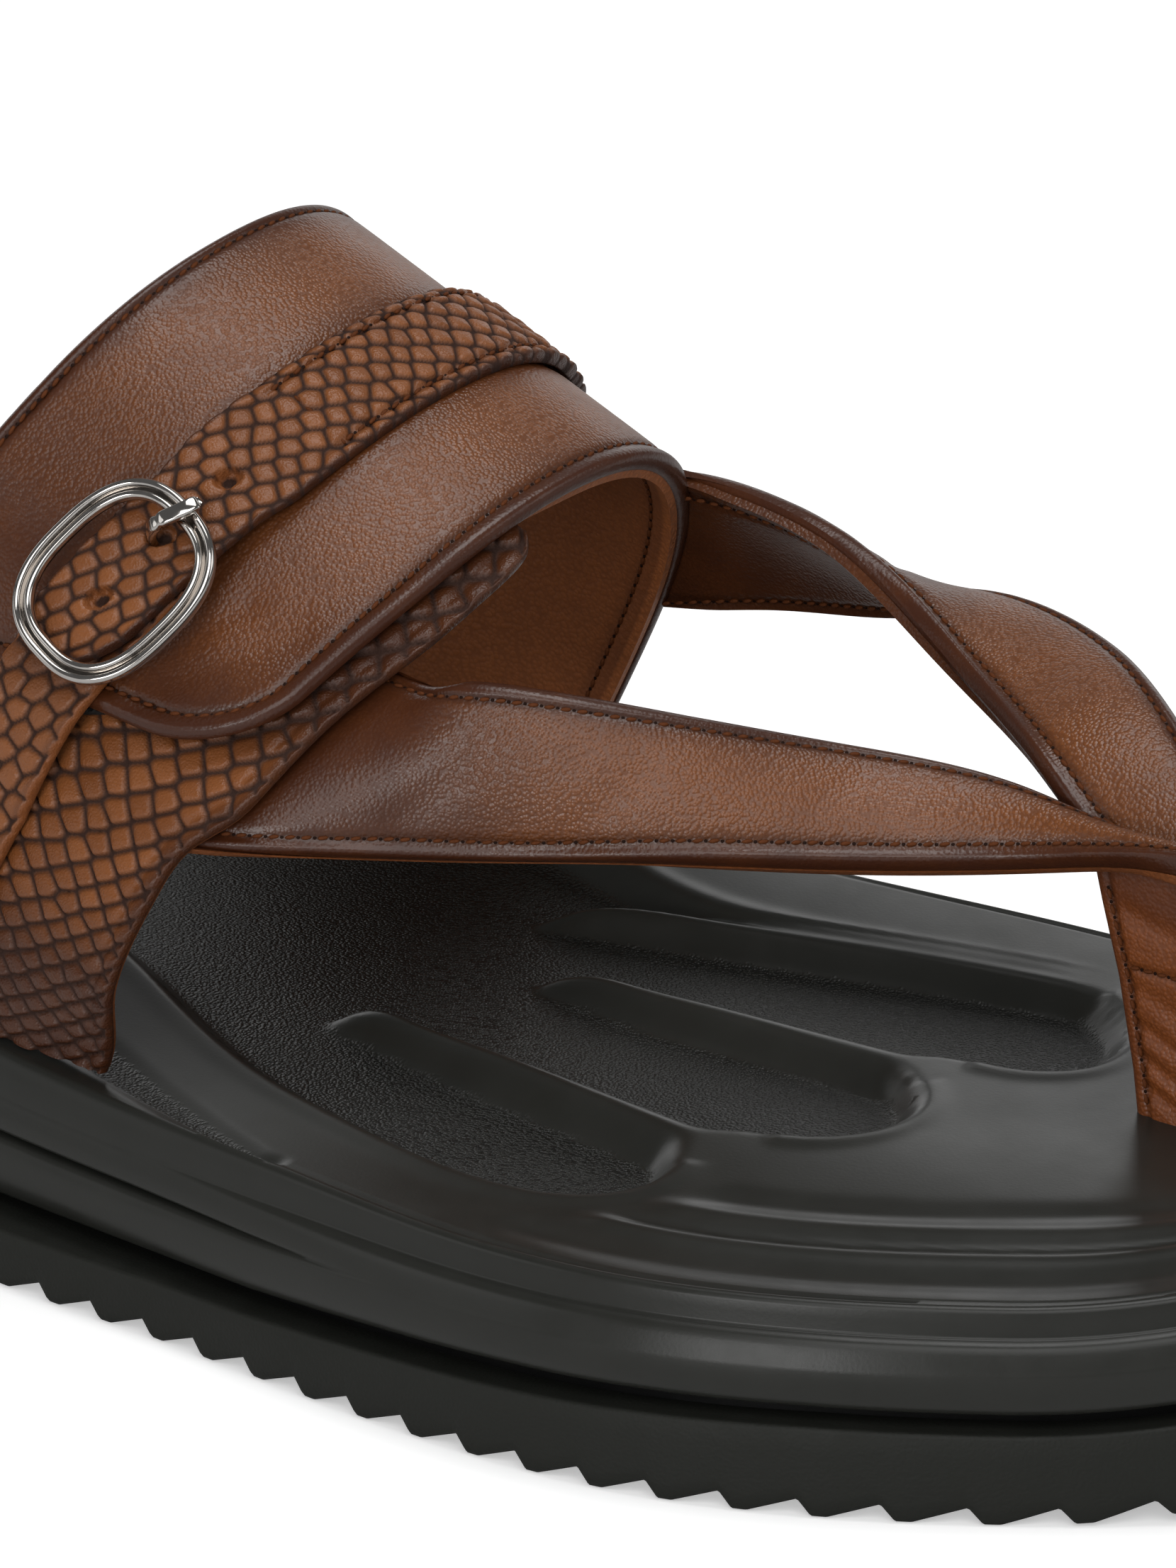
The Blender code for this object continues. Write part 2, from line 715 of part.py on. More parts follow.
def buckle_tab():
    def place(s, t, outside):
        v = TAB_FROM + (TAB_TO - TAB_FROM) * t
        lift = column(TAB_LIFT, v, 1) + (TAB_WALL if outside else 0.0)
        return instep(TAB_BACK + (TAB_FRONT - TAB_BACK) * s, v, lift)

    return solid("buckle_tab", sheet(*TAB_GRID, place), material("tab_leather", (0.20, 0.085, 0.035), 0.4))


def ring_axes():
    """Middle of the buckle ring, its long half axis and its side direction."""
    top, foot = instep(*np.transpose([RING_TOP, RING_FOOT]))
    level = (RING_TOP[1] + RING_FOOT[1]) / 2
    sides = instep([TAB_BACK, TAB_FRONT], level, RING_TOP[2])
    along = (top - foot) / 2
    side = sides[1] - sides[0]
    side -= along * (side @ along) / (along @ along)
    return (top + foot) / 2, along, side / np.linalg.norm(side)


def buckle_frame():
    """A rounded rectangular ring of round wire."""
    middle, along, side = ring_axes()
    half_length = np.linalg.norm(along)
    along = along / half_length
    points = []
    corners = [(1, 1), (-1, 1), (-1, -1), (1, -1)]
    for quarter_turn, (a, b) in enumerate(corners):
        for angle in np.linspace(0.0, 90.0, RING_CORNER_STEPS):
            turn = math.radians(angle + 90 * quarter_turn)
            long = a * (half_length - RING_CORNER) + RING_CORNER * math.cos(turn)
            wide = b * (RING_HALF_WIDTH - RING_CORNER) + RING_CORNER * math.sin(turn)
            points.append(middle + along * long + side * wide)
    curve = bpy.data.curves.new("buckle_frame", "CURVE")
    curve.dimensions = "3D"
    path = curve.splines.new("POLY")
    path.points.add(len(points) - 1)
    for point, position in zip(path.points, metres(points)):
        point.co = (*position, 1.0)
    path.use_cyclic_u = True
    curve.bevel_depth = RING_WIRE * MM
    curve.bevel_resolution = 2
    made = bpy.data.objects.new("buckle_frame", curve)
    curve.materials.append(material("metal", (0.62, 0.60, 0.57), 0.2, 1.0))
    PARTS.objects.link(made)
    return made


def buckle_prong():
    """A flat prong from the strap's hole over the ring's front bar."""
    under = np.asarray(PRONG_PATH) * (MM_PER_V, 1.0)
    along = np.gradient(under, axis=0)
    along /= np.linalg.norm(along, axis=1)[:, None]
    over = under + PRONG_THICK * np.column_stack([along[:, 1], -along[:, 0]])
    knots = np.linspace(0.0, 1.0, len(under))
    middle = (BELT_BACK + BELT_FRONT) / 2

    def place(s, t, outside):
        path = over if outside else under
        v = np.interp(t, knots, path[:, 0]) / MM_PER_V
        lift = np.interp(t, knots, path[:, 1])
        return instep(middle + PRONG_WIDTH / MM_PER_U * (s - 0.5), v, lift)

    shape = sheet(*PRONG_GRID, place)
    return solid("buckle_prong", shape, material("prong_metal", (0.60, 0.58, 0.55), 0.22, 1.0))


outsole()
footbed()
upper()
belt_strap()
buckle_tab()
buckle_frame()
buckle_prong()
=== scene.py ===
# %% [markdown]
# A right-foot leather toe-post slipper
#
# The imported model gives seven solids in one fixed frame. This lesson dresses them: a moulded footbed, a
# ripple outsole, smooth burnished leather, leather embossed with scales, a nickel buckle and the thread.
# The frame is loaded first, because every later size is measured against it.

# %% Load the frame
import math

import bmesh
import bpy
import numpy as np
from mathutils import Matrix, Vector
from mathutils.kdtree import KDTree

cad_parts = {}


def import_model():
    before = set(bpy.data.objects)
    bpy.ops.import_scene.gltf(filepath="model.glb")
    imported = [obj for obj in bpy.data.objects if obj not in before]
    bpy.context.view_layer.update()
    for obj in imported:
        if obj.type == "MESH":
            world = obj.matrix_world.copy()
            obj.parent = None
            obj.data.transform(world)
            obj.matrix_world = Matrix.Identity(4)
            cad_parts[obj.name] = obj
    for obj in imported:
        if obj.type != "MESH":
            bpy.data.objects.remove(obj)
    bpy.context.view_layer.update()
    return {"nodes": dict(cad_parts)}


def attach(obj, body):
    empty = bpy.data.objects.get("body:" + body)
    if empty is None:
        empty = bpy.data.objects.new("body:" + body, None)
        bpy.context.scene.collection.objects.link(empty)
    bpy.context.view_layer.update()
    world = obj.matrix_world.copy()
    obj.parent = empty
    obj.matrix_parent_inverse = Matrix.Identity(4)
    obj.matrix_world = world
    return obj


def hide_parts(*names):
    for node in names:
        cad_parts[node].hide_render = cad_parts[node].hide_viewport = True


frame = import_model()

MM = 0.001
print("nodes:", sorted(frame["nodes"]))

# %% [markdown]
# Curves
#
# A shoe is drawn with curves through a few measured points. A natural cubic through a short table does
# this for the sole's outline, the straps' edges and the section of the instep, so each table stays
# readable and each surface stays smooth.

# %% Curve helpers


def spline(knots, rows):
    """A natural cubic curve through rows at knots, as a function of the knot value."""
    knots = np.asarray(knots, float)
    rows = np.asarray(rows, float)
    count = len(knots)
    step = np.diff(knots)
    matrix = np.eye(count)
    right = np.zeros(rows.shape)
    for i in range(1, count - 1):
        matrix[i, i - 1 : i + 2] = step[i - 1], 2 * (step[i - 1] + step[i]), step[i]
        right[i] = 6 * ((rows[i + 1] - rows[i]) / step[i] - (rows[i] - rows[i - 1]) / step[i - 1])
    bend = np.linalg.solve(matrix, right)

    def at(value):
        value = np.atleast_1d(np.asarray(value, float))
        i = np.clip(np.searchsorted(knots, value) - 1, 0, count - 2)
        h = step[i][:, None]
        a = (knots[i + 1] - value)[:, None]
        b = (value - knots[i])[:, None]
        curve = (bend[i] * a**3 + bend[i + 1] * b**3) / (6 * h)
        return curve + (rows[i] / h - bend[i] * h / 6) * a + (rows[i + 1] / h - bend[i + 1] * h / 6) * b

    return at


def column(table, value, index):
    """Straight interpolation in one column of a table whose first column is the knot."""
    table = np.asarray(table, float)
    return np.interp(value, table[:, 0], table[:, index])


def ease(value, low, high):
    """A soft step: 0 up to low, 1 from high on."""
    share = np.clip((np.asarray(value, float) - low) / (high - low), 0.0, 1.0)
    return share * share * (3 - 2 * share)


def bell(distance, half):
    """A soft bump: 1 at no distance, nearly gone at twice the half width."""
    return np.exp(-((distance / half) ** 2))


def strongest(*values):
    """The largest of several values at each point."""
    return np.max(np.broadcast_arrays(*values), axis=0)


def walked(line):
    """Distance walked along a line of points."""
    steps = np.linalg.norm(np.diff(line, axis=0), axis=1)
    return np.concatenate([[0.0], np.cumsum(steps)])


def closed_curve(points, count):
    """Evenly spaced points on a smooth closed curve through points."""
    points = np.asarray(points, float)
    wrap = 4
    ring = np.concatenate([points[-wrap:], points, points[: wrap + 1]])
    knots = walked(ring)
    fine = spline(knots, ring)(np.linspace(knots[wrap], knots[-wrap - 1], 4 * count + 1))
    walk = walked(fine)
    even = np.linspace(0.0, walk[-1], count, endpoint=False)
    return np.stack([np.interp(even, walk, fine[:, k]) for k in range(fine.shape[1])], axis=1)


def outward(outline):
    """Unit vectors that point out of an anticlockwise outline."""
    along = np.roll(outline, -1, axis=0) - np.roll(outline, 1, axis=0)
    along /= np.linalg.norm(along, axis=1)[:, None]
    return np.stack([along[:, 1], -along[:, 0]], axis=1)


def nearest_with_index(points, line):
    """Distance from each point to the nearest point of a finely divided line, and that point's number."""
    flat = ((0, 0), (0, 3 - line.shape[1]))
    tree = KDTree(len(line))
    for index, spot in enumerate(np.pad(line, flat)):
        tree.insert(spot, index)
    tree.balance()
    found = [tree.find(spot) for spot in np.pad(points, flat)]
    return np.array([item[2] for item in found]), np.array([item[1] for item in found])


def nearest(points, line):
    """Distance from each point to the nearest point of a line."""
    return nearest_with_index(points, line)[0]


# %% [markdown]
# The sole's outline and the shoe's own millimetres
#
# Every size below is in millimetres from the heel end: x towards the toe, y towards the inner side of the
# foot, z up from the ground. The frame's origin is the middle of the sole, so one function moves points
# from the shoe's millimetres to the frame's metres.

# %% Outline and frame
TOE_END = 284.5
OUTLINE = [
    # x, y
    (0.0, -1.0),
    (6.0, -20.0),
    (20.0, -33.0),
    (48.0, -40.0),
    (80.0, -43.5),
    (115.0, -49.0),
    (150.0, -53.8),
    (190.0, -58.0),
    (212.0, -56.6),
    (232.0, -49.6),
    (252.0, -37.2),
    (269.0, -22.0),
    (281.0, -1.0),
    (TOE_END, 15.0),
    (281.0, 31.0),
    (268.0, 44.0),
    (248.0, 52.0),
    (222.0, 56.0),
    (195.0, 54.0),
    (160.0, 47.6),
    (125.0, 42.0),
    (90.0, 38.5),
    (50.0, 37.5),
    (21.0, 32.0),
    (6.0, 19.0),
]
RIM = closed_curve(OUTLINE, 2400)
RIM_OUT = outward(RIM)
TOE_INDEX = int(RIM[:, 0].argmax())
MIDDLE = np.append((RIM.min(axis=0) + RIM.max(axis=0)) / 2, 0.0)


def world(points):
    """Shoe millimetres to the frame's metres."""
    return (np.asarray(points, float) - MIDDLE) * MM


def side_of_rim(share, lateral):
    """Points and outward directions on one side of the rim, from the heel (0) to the toe (1)."""
    toe = TOE_INDEX
    index = share * toe if lateral else len(RIM) - share * (len(RIM) - toe)
    low = np.floor(index).astype(int)
    part = (index - low)[:, None]
    mixed = []
    for values in (RIM, RIM_OUT):
        mixed.append(values[low % len(RIM)] * (1 - part) + values[(low + 1) % len(RIM)] * part)
    return mixed


print("sole length and width in mm:", np.round(RIM.max(axis=0) - RIM.min(axis=0), 1))

# %% [markdown]
# Camera
#
# The picture was taken from the outer side, in front and a little above, with a long lens. The camera looks
# at one point of the shoe from that direction, and the lens follows from how many of the picture's pixels
# one millimetre takes at that point.

# %% Camera
PICTURE_HEIGHT = 2212
PIXELS_PER_MM = 13.2
LOOK_AT = (174.3, -11.4, 56.2)
CAMERA_AZIMUTH, CAMERA_ELEVATION = math.radians(38.5), math.radians(20.0)
CAMERA_DISTANCE = 1200.0
SENSOR = 36.0
BACK = Vector(
    (
        math.sin(CAMERA_AZIMUTH) * math.cos(CAMERA_ELEVATION),
        -math.cos(CAMERA_AZIMUTH) * math.cos(CAMERA_ELEVATION),
        math.sin(CAMERA_ELEVATION),
    )
)
target = Vector(world([LOOK_AT])[0])
camera = bpy.data.objects.new("camera", bpy.data.cameras.new("camera"))
camera.data.sensor_fit = "VERTICAL"
camera.data.sensor_height = SENSOR
camera.data.lens = SENSOR * PIXELS_PER_MM * CAMERA_DISTANCE / PICTURE_HEIGHT
camera.location = target + BACK * CAMERA_DISTANCE * MM
camera.rotation_euler = BACK.to_track_quat("Z", "Y").to_euler()
bpy.context.scene.collection.objects.link(camera)
bpy.context.scene.camera = camera
print("lens in mm:", round(camera.data.lens, 1))

# %% [markdown]
# Floor and light
#
# Soft light comes from all round, as in a studio. Seven panels stand about the shoe: one overhead, a high
# and a low one in front, one on each side, and two behind, whose mirror images draw the bright lines on the
# dark footbed. The floor is a plain pale sheet. It is darker to reflected rays, because a white floor would
# fill the dark sole with its mirror image.

# %% Light
WHITE = (1.0, 1.0, 1.0, 1.0)
SKY_GLOW = 0.12
SOFTBOXES = [
    # name, metres to the right, behind and up, watts, width, height
    ("overhead_softbox", 0.12, 0.00, 1.30, 7.5, 0.8, 0.6),
    ("front_softbox", -0.70, -1.45, 0.24, 6.8, 0.6, 0.4),
    ("left_softbox", -1.30, -0.35, 0.40, 1.5, 0.7, 0.6),
    ("right_backdrop", 0.78, 1.80, 0.70, 6.2, 1.6, 1.2),
    ("left_backdrop", -0.82, 1.70, 0.55, 5.0, 1.4, 1.0),
    ("high_softbox", 0.05, -1.15, 0.95, 10.0, 1.2, 0.9),
    ("right_softbox", 1.30, -0.30, 0.60, 2.2, 0.8, 0.6),
]
BEHIND = Vector((-BACK.x, -BACK.y, 0.0)).normalized()
SIDEWAYS = Vector((BEHIND.y, -BEHIND.x, 0.0))
for label, right, behind, up, watts, wide, tall in SOFTBOXES:
    lamp = bpy.data.lights.new(label, "AREA")
    lamp.shape = "RECTANGLE"
    lamp.size = wide
    lamp.size_y = tall
    lamp.energy = watts
    softbox = bpy.data.objects.new(label, lamp)
    softbox.location = SIDEWAYS * right + BEHIND * behind + Vector((0.0, 0.0, up))
    softbox.rotation_euler = softbox.location.to_track_quat("Z", "Y").to_euler()
    softbox.visible_camera = False
    bpy.context.scene.collection.objects.link(softbox)
sky = bpy.data.worlds.new("studio")
sky.use_nodes = True
sky.node_tree.nodes["Background"].inputs["Color"].default_value = WHITE
sky.node_tree.nodes["Background"].inputs["Strength"].default_value = SKY_GLOW
bpy.context.scene.world = sky
bpy.context.scene.view_settings.view_transform = "Standard"
print("lights:", [row[0] for row in SOFTBOXES])

# %% Floor
FLOOR_SIDE, FLOOR_DROP = 12.0, 0.0002
FLOOR_LOOK = {
    "Base Color": (0.82, 0.82, 0.82, 1.0),
    "Roughness": 1.0,
    "Specular IOR Level": 0.0,
    "Emission Color": WHITE,
    "Emission Strength": 0.42,
}
FLOOR_REFLECTED = (0.70, 0.70, 0.70, 1.0)
floor_shape = bmesh.new()
bmesh.ops.create_grid(floor_shape, x_segments=1, y_segments=1, size=FLOOR_SIDE / 2)
bmesh.ops.translate(floor_shape, verts=floor_shape.verts[:], vec=(0, 0, -FLOOR_DROP))
floor_mesh = bpy.data.meshes.new("floor")
floor_shape.to_mesh(floor_mesh)
floor_shape.free()
floor = bpy.data.objects.new("floor", floor_mesh)
bpy.context.scene.collection.objects.link(floor)
paper = bpy.data.materials.new("pale_floor")
paper.use_nodes = True
paper_nodes = paper.node_tree.nodes
paper_links = paper.node_tree.links
for socket, value in FLOOR_LOOK.items():
    paper_nodes["Principled BSDF"].inputs[socket].default_value = value
paper_dull = paper_nodes.new("ShaderNodeBsdfDiffuse")
paper_dull.inputs["Color"].default_value = FLOOR_REFLECTED
paper_path = paper_nodes.new("ShaderNodeLightPath")
paper_mix = paper_nodes.new("ShaderNodeMixShader")
paper_links.new(paper_path.outputs["Is Camera Ray"], paper_mix.inputs[0])
paper_links.new(paper_dull.outputs[0], paper_mix.inputs[1])
paper_links.new(paper_nodes["Principled BSDF"].outputs[0], paper_mix.inputs[2])
paper_links.new(paper_mix.outputs[0], paper_nodes["Material Output"].inputs["Surface"])
floor_mesh.materials.append(paper)
print("floor side in metres:", FLOOR_SIDE)

# %% [markdown]
# Making a piece
#
# Each piece starts as a bmesh. Its points carry marks: numbers such as how near an edge a point is, or how
# deep in a groove. The materials read these marks, so colour, wear and painted shade follow the shape and
# not a picture.
# A finished piece sits at the origin with its place in its mesh, and rides on the one body, the root.

# %% Piece helpers
SHARP_ANGLE = math.radians(60)
WELD = 1e-6


def mark(shape, name, values):
    """Gives each point of a bmesh a number that a material can read."""
    layer = shape.verts.layers.float.new(name)
    for point, value in zip(shape.verts, values):
        point[layer] = value


def piece(name, shape, look, slot, *nodes):
    """Makes an object from a bmesh, facing out, riding on the root."""
    bmesh.ops.recalc_face_normals(shape, faces=shape.faces[:])
    if shape.calc_volume(signed=True) < 0:
        bmesh.ops.reverse_faces(shape, faces=shape.faces[:])
    mesh = bpy.data.meshes.new(name)
    shape.to_mesh(mesh)
    shape.free()
    mesh.materials.append(look)
    mesh.shade_smooth()
    mesh.set_sharp_from_angle(angle=SHARP_ANGLE)
    made = bpy.data.objects.new(name, mesh)
    bpy.context.scene.collection.objects.link(made)
    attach(made, "root")
    if nodes:
        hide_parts(*nodes)
    print(name, "faces:", len(mesh.polygons))
    return made


def woven_grid(columns, rows, place):
    """A flat grid whose points place(s, t) moves, with s and t from 0 to 1, merged where points meet."""
    shape = bmesh.new()
    bmesh.ops.create_grid(shape, x_segments=columns, y_segments=rows, size=0.5)
    flat = np.array([(p.co.x + 0.5, p.co.y + 0.5) for p in shape.verts])
    points, marks = place(flat[:, 0], flat[:, 1])
    for point, position in zip(shape.verts, world(points)):
        point.co = position
    for name, values in marks.items():
        mark(shape, name, values)
    bmesh.ops.remove_doubles(shape, verts=shape.verts[:], dist=WELD)
    return shape


def close_ends(shape):
    """Fills the open ends of a shape."""
    open_edges = [edge for edge in shape.edges if edge.is_boundary]
    bmesh.ops.holes_fill(shape, edges=open_edges, sides=0)
    return shape


# %% [markdown]
# Shared finishes
#
# Leather grain and burnishing with its painted shade appear in several materials, so each is a node group
# with named sockets. A group only makes values and colours. The shader stays in the material, with its
# constant numbers set on its own sockets.

# %% Node helpers


def add(tree, kind, inputs=None, **settings):
    """A shader node with its settings, its constant inputs and its links."""
    made = tree.nodes.new("ShaderNode" + kind)
    for name, value in settings.items():
        setattr(made, name, value)
    for name, value in (inputs or {}).items():
        if isinstance(value, bpy.types.NodeSocket):
            tree.links.new(value, made.inputs[name])
        else:
            made.inputs[name].default_value = value
    return made


def group(name, inputs, outputs):
    """An empty node group with named sockets; gives the tree, its input sockets and its output sockets."""
    tree = bpy.data.node_groups.new(name, "ShaderNodeTree")
    for label, kind, value in inputs:
        socket = tree.interface.new_socket(name=label, in_out="INPUT", socket_type="NodeSocket" + kind)
        socket.default_value = value
    for label, kind in outputs:
        tree.interface.new_socket(name=label, in_out="OUTPUT", socket_type="NodeSocket" + kind)
    return tree, tree.nodes.new("NodeGroupInput").outputs, tree.nodes.new("NodeGroupOutput").inputs


def use(tree, made_group, inputs):
    """A node group placed in a material; gives its outputs."""
    return add(tree, "Group", inputs, node_tree=made_group).outputs


def math_node(tree, operation, *values):
    return add(tree, "Math", dict(enumerate(values)), operation=operation).outputs[0]


def mix_colour(tree, share, first, second):
    return add(tree, "Mix", {0: share, 6: first, 7: second}, data_type="RGBA").outputs[2]


def stretch(tree, value, low, high, to_low, to_high):
    inputs = {"Value": value, "From Min": low, "From Max": high, "To Min": to_low, "To Max": to_high}
    return add(tree, "MapRange", inputs).outputs[0]


def attribute(tree, name):
    return add(tree, "Attribute", attribute_name=name).outputs["Fac"]


def speckle(tree, scale, detail=2.0):
    """Noise over the piece's own metres."""
    here = add(tree, "TexCoord").outputs["Object"]
    return add(tree, "TexNoise", {"Vector": here, "Scale": scale, "Detail": detail}).outputs["Fac"]


def finish(name, **values):
    """A material with a Principled shader whose constant sockets are set."""
    made = bpy.data.materials.new(name)
    made.use_nodes = True
    shader = made.node_tree.nodes["Principled BSDF"]
    for socket, value in values.items():
        label = socket.replace("_", " ").title().replace("Ior", "IOR")
        shader.inputs[label].default_value = value
    return made, made.node_tree, shader.inputs


def dress(tree, shader, colour, roughness=None, height=None, depth=0.0, strength=1.0):
    """Links a finish's colour, roughness and relief to its shader."""
    tree.links.new(colour, shader["Base Color"])
    if roughness is not None:
        tree.links.new(roughness, shader["Roughness"])
    if height is not None:
        bump = add(tree, "Bump", {"Height": height, "Strength": strength, "Distance": depth})
        tree.links.new(bump.outputs[0], shader["Normal"])


# %% Grain group
# Pebbles between fine creases, as on leather and on moulded foam; Size is a pebble's width in metres.
GRAIN, grain_in, grain_out = group(
    "pebble_grain",
    [("Size", "Float", 0.0006), ("Softness", "Float", 0.5)],
    [("Height", "Float"), ("Blotch", "Float")],
)
here = add(GRAIN, "TexCoord").outputs["Object"]
per_metre = math_node(GRAIN, "DIVIDE", 1.0, grain_in["Size"])
drift = add(GRAIN, "TexNoise", {"Vector": here, "Scale": math_node(GRAIN, "MULTIPLY", per_metre, 0.5)})
pull = add(GRAIN, "VectorMath", {0: drift.outputs["Color"], 1: (0.5, 0.5, 0.5)}, operation="SUBTRACT")
reach = math_node(GRAIN, "MULTIPLY", grain_in["Size"], 0.35)
pulled = add(GRAIN, "VectorMath", {0: pull.outputs[0], "Scale": reach}, operation="SCALE")
warped = add(GRAIN, "VectorMath", {0: here, 1: pulled.outputs[0]}, operation="ADD").outputs[0]
cell_inputs = {"Vector": warped, "Scale": per_metre, "Smoothness": grain_in["Softness"]}
cells = add(GRAIN, "TexVoronoi", cell_inputs, feature="SMOOTH_F1")
pebble = stretch(GRAIN, cells.outputs["Distance"], 0.15, 0.75, 1.0, 0.0)
hair = add(GRAIN, "TexNoise", {"Vector": here, "Scale": math_node(GRAIN, "MULTIPLY", per_metre, 2.5)})
height = math_node(GRAIN, "MULTIPLY_ADD", hair.outputs["Fac"], 0.2, pebble)
blotch = add(GRAIN, "TexNoise", {"Vector": here, "Scale": 130.0, "Detail": 5.0, "Roughness": 0.62})
GRAIN.links.new(height, grain_out["Height"])
GRAIN.links.new(blotch.outputs["Fac"], grain_out["Blotch"])

# %% Burnish and painted shade group
# Dark polish rubbed into the edges of lighter leather, uneven as by hand. The same darkening also paints the
# shade that the mark edge carries: shadows beside and under parts, and darker places that stand for shade.
BURNISH_AND_SHADE, burnish_and_shade_in, burnish_and_shade_out = group(
    "burnish_and_shade",
    [
        ("Light", "Color", (0.2, 0.08, 0.03, 1.0)),
        ("Dark", "Color", (0.05, 0.02, 0.01, 1.0)),
        ("Edge", "Float", 0.0),
        ("Blotch", "Float", 0.5),
    ],
    [("Color", "Color")],
)
uneven = stretch(BURNISH_AND_SHADE, burnish_and_shade_in["Blotch"], 0.3, 0.7, -0.12, 0.12)
rubbed = math_node(BURNISH_AND_SHADE, "ADD", burnish_and_shade_in["Edge"], uneven)
share = stretch(BURNISH_AND_SHADE, rubbed, 0.0, 1.0, 0.0, 1.0)
polished = mix_colour(BURNISH_AND_SHADE, share, burnish_and_shade_in["Light"], burnish_and_shade_in["Dark"])
BURNISH_AND_SHADE.links.new(polished, burnish_and_shade_out["Color"])
print("groups:", [g.name for g in bpy.data.node_groups])

# %% [markdown]
# Moulded foam and rubber
#
# The footbed is one moulding of charcoal foam with a satin skin, pebbled only in its recess. The outsole is
# a matt, slightly olive rubber. Both are so dark that most of what shows is reflected light, so roughness
# matters more than colour.

# %% Footbed and outsole materials
BLOTCH = (0.3, 0.7)
CHARCOAL = [(0.0150, 0.0154, 0.0133, 1.0), (0.0195, 0.0199, 0.0172, 1.0)]
# Painted shade: the low pits between pebbles are darkened in the colour.
CHARCOAL_PIT_SHADE = (0.0035, 0.0036, 0.0031, 1.0)
# Painted shadow: the gap under the footbed's wall is coloured near black.
GAP_SHADOW_BLACK = (0.002, 0.002, 0.002, 1.0)
OLIVE = [(0.0085, 0.0092, 0.0071, 1.0), (0.0115, 0.0122, 0.0096, 1.0)]

FOAM, tree, shader = finish("charcoal_foam", roughness=0.4, specular_ior_level=0.27)
pebbled = attribute(tree, "pebble")
grain = use(tree, GRAIN, {"Size": 0.00038, "Softness": 0.25})
bumps = math_node(tree, "MULTIPLY", grain["Height"], pebbled)
skin = math_node(tree, "MULTIPLY_ADD", speckle(tree, 2600.0), 0.06, bumps)
dull = stretch(tree, grain["Blotch"], *BLOTCH, 0.29, 0.37)
rough = math_node(tree, "MULTIPLY_ADD", pebbled, 0.07, dull)
charcoal = mix_colour(tree, grain["Blotch"], *CHARCOAL)
# Painted shade in the pebbles' pits.
pit_shade = math_node(tree, "MULTIPLY", stretch(tree, grain["Height"], 0.2, 0.8, 0.75, 0.0), pebbled)
pit_shaded = mix_colour(tree, pit_shade, charcoal, CHARCOAL_PIT_SHADE)
# Painted shadow: the gap's rows are coloured black.
gap_shadowed = mix_colour(tree, attribute(tree, "gap"), pit_shaded, GAP_SHADOW_BLACK)
dress(tree, shader, gap_shadowed, rough, skin, depth=0.00015)

RUBBER, tree, shader = finish("olive_rubber", roughness=0.62, specular_ior_level=0.25)
grain = use(tree, GRAIN, {"Size": 0.0004, "Softness": 0.8})
olive = mix_colour(tree, grain["Blotch"], *OLIVE)
dull = stretch(tree, grain["Blotch"], *BLOTCH, 0.56, 0.68)
dress(tree, shader, olive, dull, grain["Height"], depth=0.00005, strength=0.5)
print("materials:", FOAM.name, RUBBER.name)

# %% [markdown]
# Footbed
#
# The real footbed is moulded in one: a rounded wall over a gap, painted black as the shadow in it, a step
# near the rim, and a dished top whose pebbled recess runs forward in three fingers between smooth ridges.
# It could be cut with Booleans, but the mould has no sharp cuts. So it is one grid from the outer wall over
# the top to the inner wall, and the ridges, arcs and lines are soft heights on it, worked out from
# distances to a few drawn shapes.

# %% Footbed sizes
TOE_SPRING_FROM, TOE_SPRING_RISE = 250.0, 7.0
RIM_HEIGHT = [
    # x, lateral, medial
    (0.0, 34.0, 35.0),
    (40.0, 32.0, 34.5),
    (80.0, 28.2, 33.5),
    (110.0, 25.1, 31.5),
    (140.0, 23.5, 28.8),
    (170.0, 23.2, 27.0),
    (190.0, 22.8, 26.2),
    (205.0, 22.9, 25.6),
    (240.0, 23.2, 24.6),
    (285.0, 23.4, 24.0),
]
BED_HEIGHT = [
    # x, height along the spine
    (0.0, 32.0),
    (40.0, 29.5),
    (80.0, 29.0),
    (110.0, 27.8),
    (140.0, 26.4),
    (170.0, 25.6),
    (200.0, 25.2),
    (240.0, 25.2),
    (285.0, 25.0),
]
SOLE_LINE = [
    # x, top edge of the outsole, lower edge of the footbed's wall
    (0.0, 8.6, 10.8),
    (60.0, 7.6, 9.6),
    (100.0, 6.5, 8.0),
    (124.0, 6.5, 8.2),
    (144.0, 6.6, 8.6),
    (163.0, 6.9, 9.0),
    (182.0, 7.9, 10.2),
    (200.0, 8.7, 11.1),
    (216.0, 9.5, 11.6),
    (232.0, 10.0, 11.9),
    (285.0, 10.0, 11.9),
]
WALL_SHAPE = [
    # share of the wall's height, inset at the front, inset at the waist
    (0.000, 1.20, 1.20),
    (0.012, 0.55, 0.55),
    (0.035, 0.20, 0.20),
    (0.090, -0.20, -0.20),
    (0.170, -0.45, -0.45),
    (0.260, -0.60, -0.45),
    (0.330, -0.60, -0.30),
    (0.390, -0.55, -0.05),
    (0.418, -0.49, 0.20),
    (0.430, -0.45, 0.80),
    (0.442, -0.41, 1.45),
    (0.456, -0.36, 0.95),
    (0.475, -0.30, 0.45),
    (0.500, -0.22, 0.30),
    (0.540, -0.08, 0.30),
    (0.600, 0.12, 0.45),
    (0.640, 0.30, 0.65),
    (0.670, 0.50, 0.72),
    (0.695, 0.90, 0.80),
    (0.705, 1.30, 0.85),
    (0.715, 1.55, 0.88),
    (0.740, 1.60, 0.95),
    (0.850, 1.75, 1.30),
    (0.940, 1.90, 1.70),
    (0.970, 2.00, 1.95),
    (0.990, 2.25, 2.25),
    (1.000, 2.60, 2.60),
]
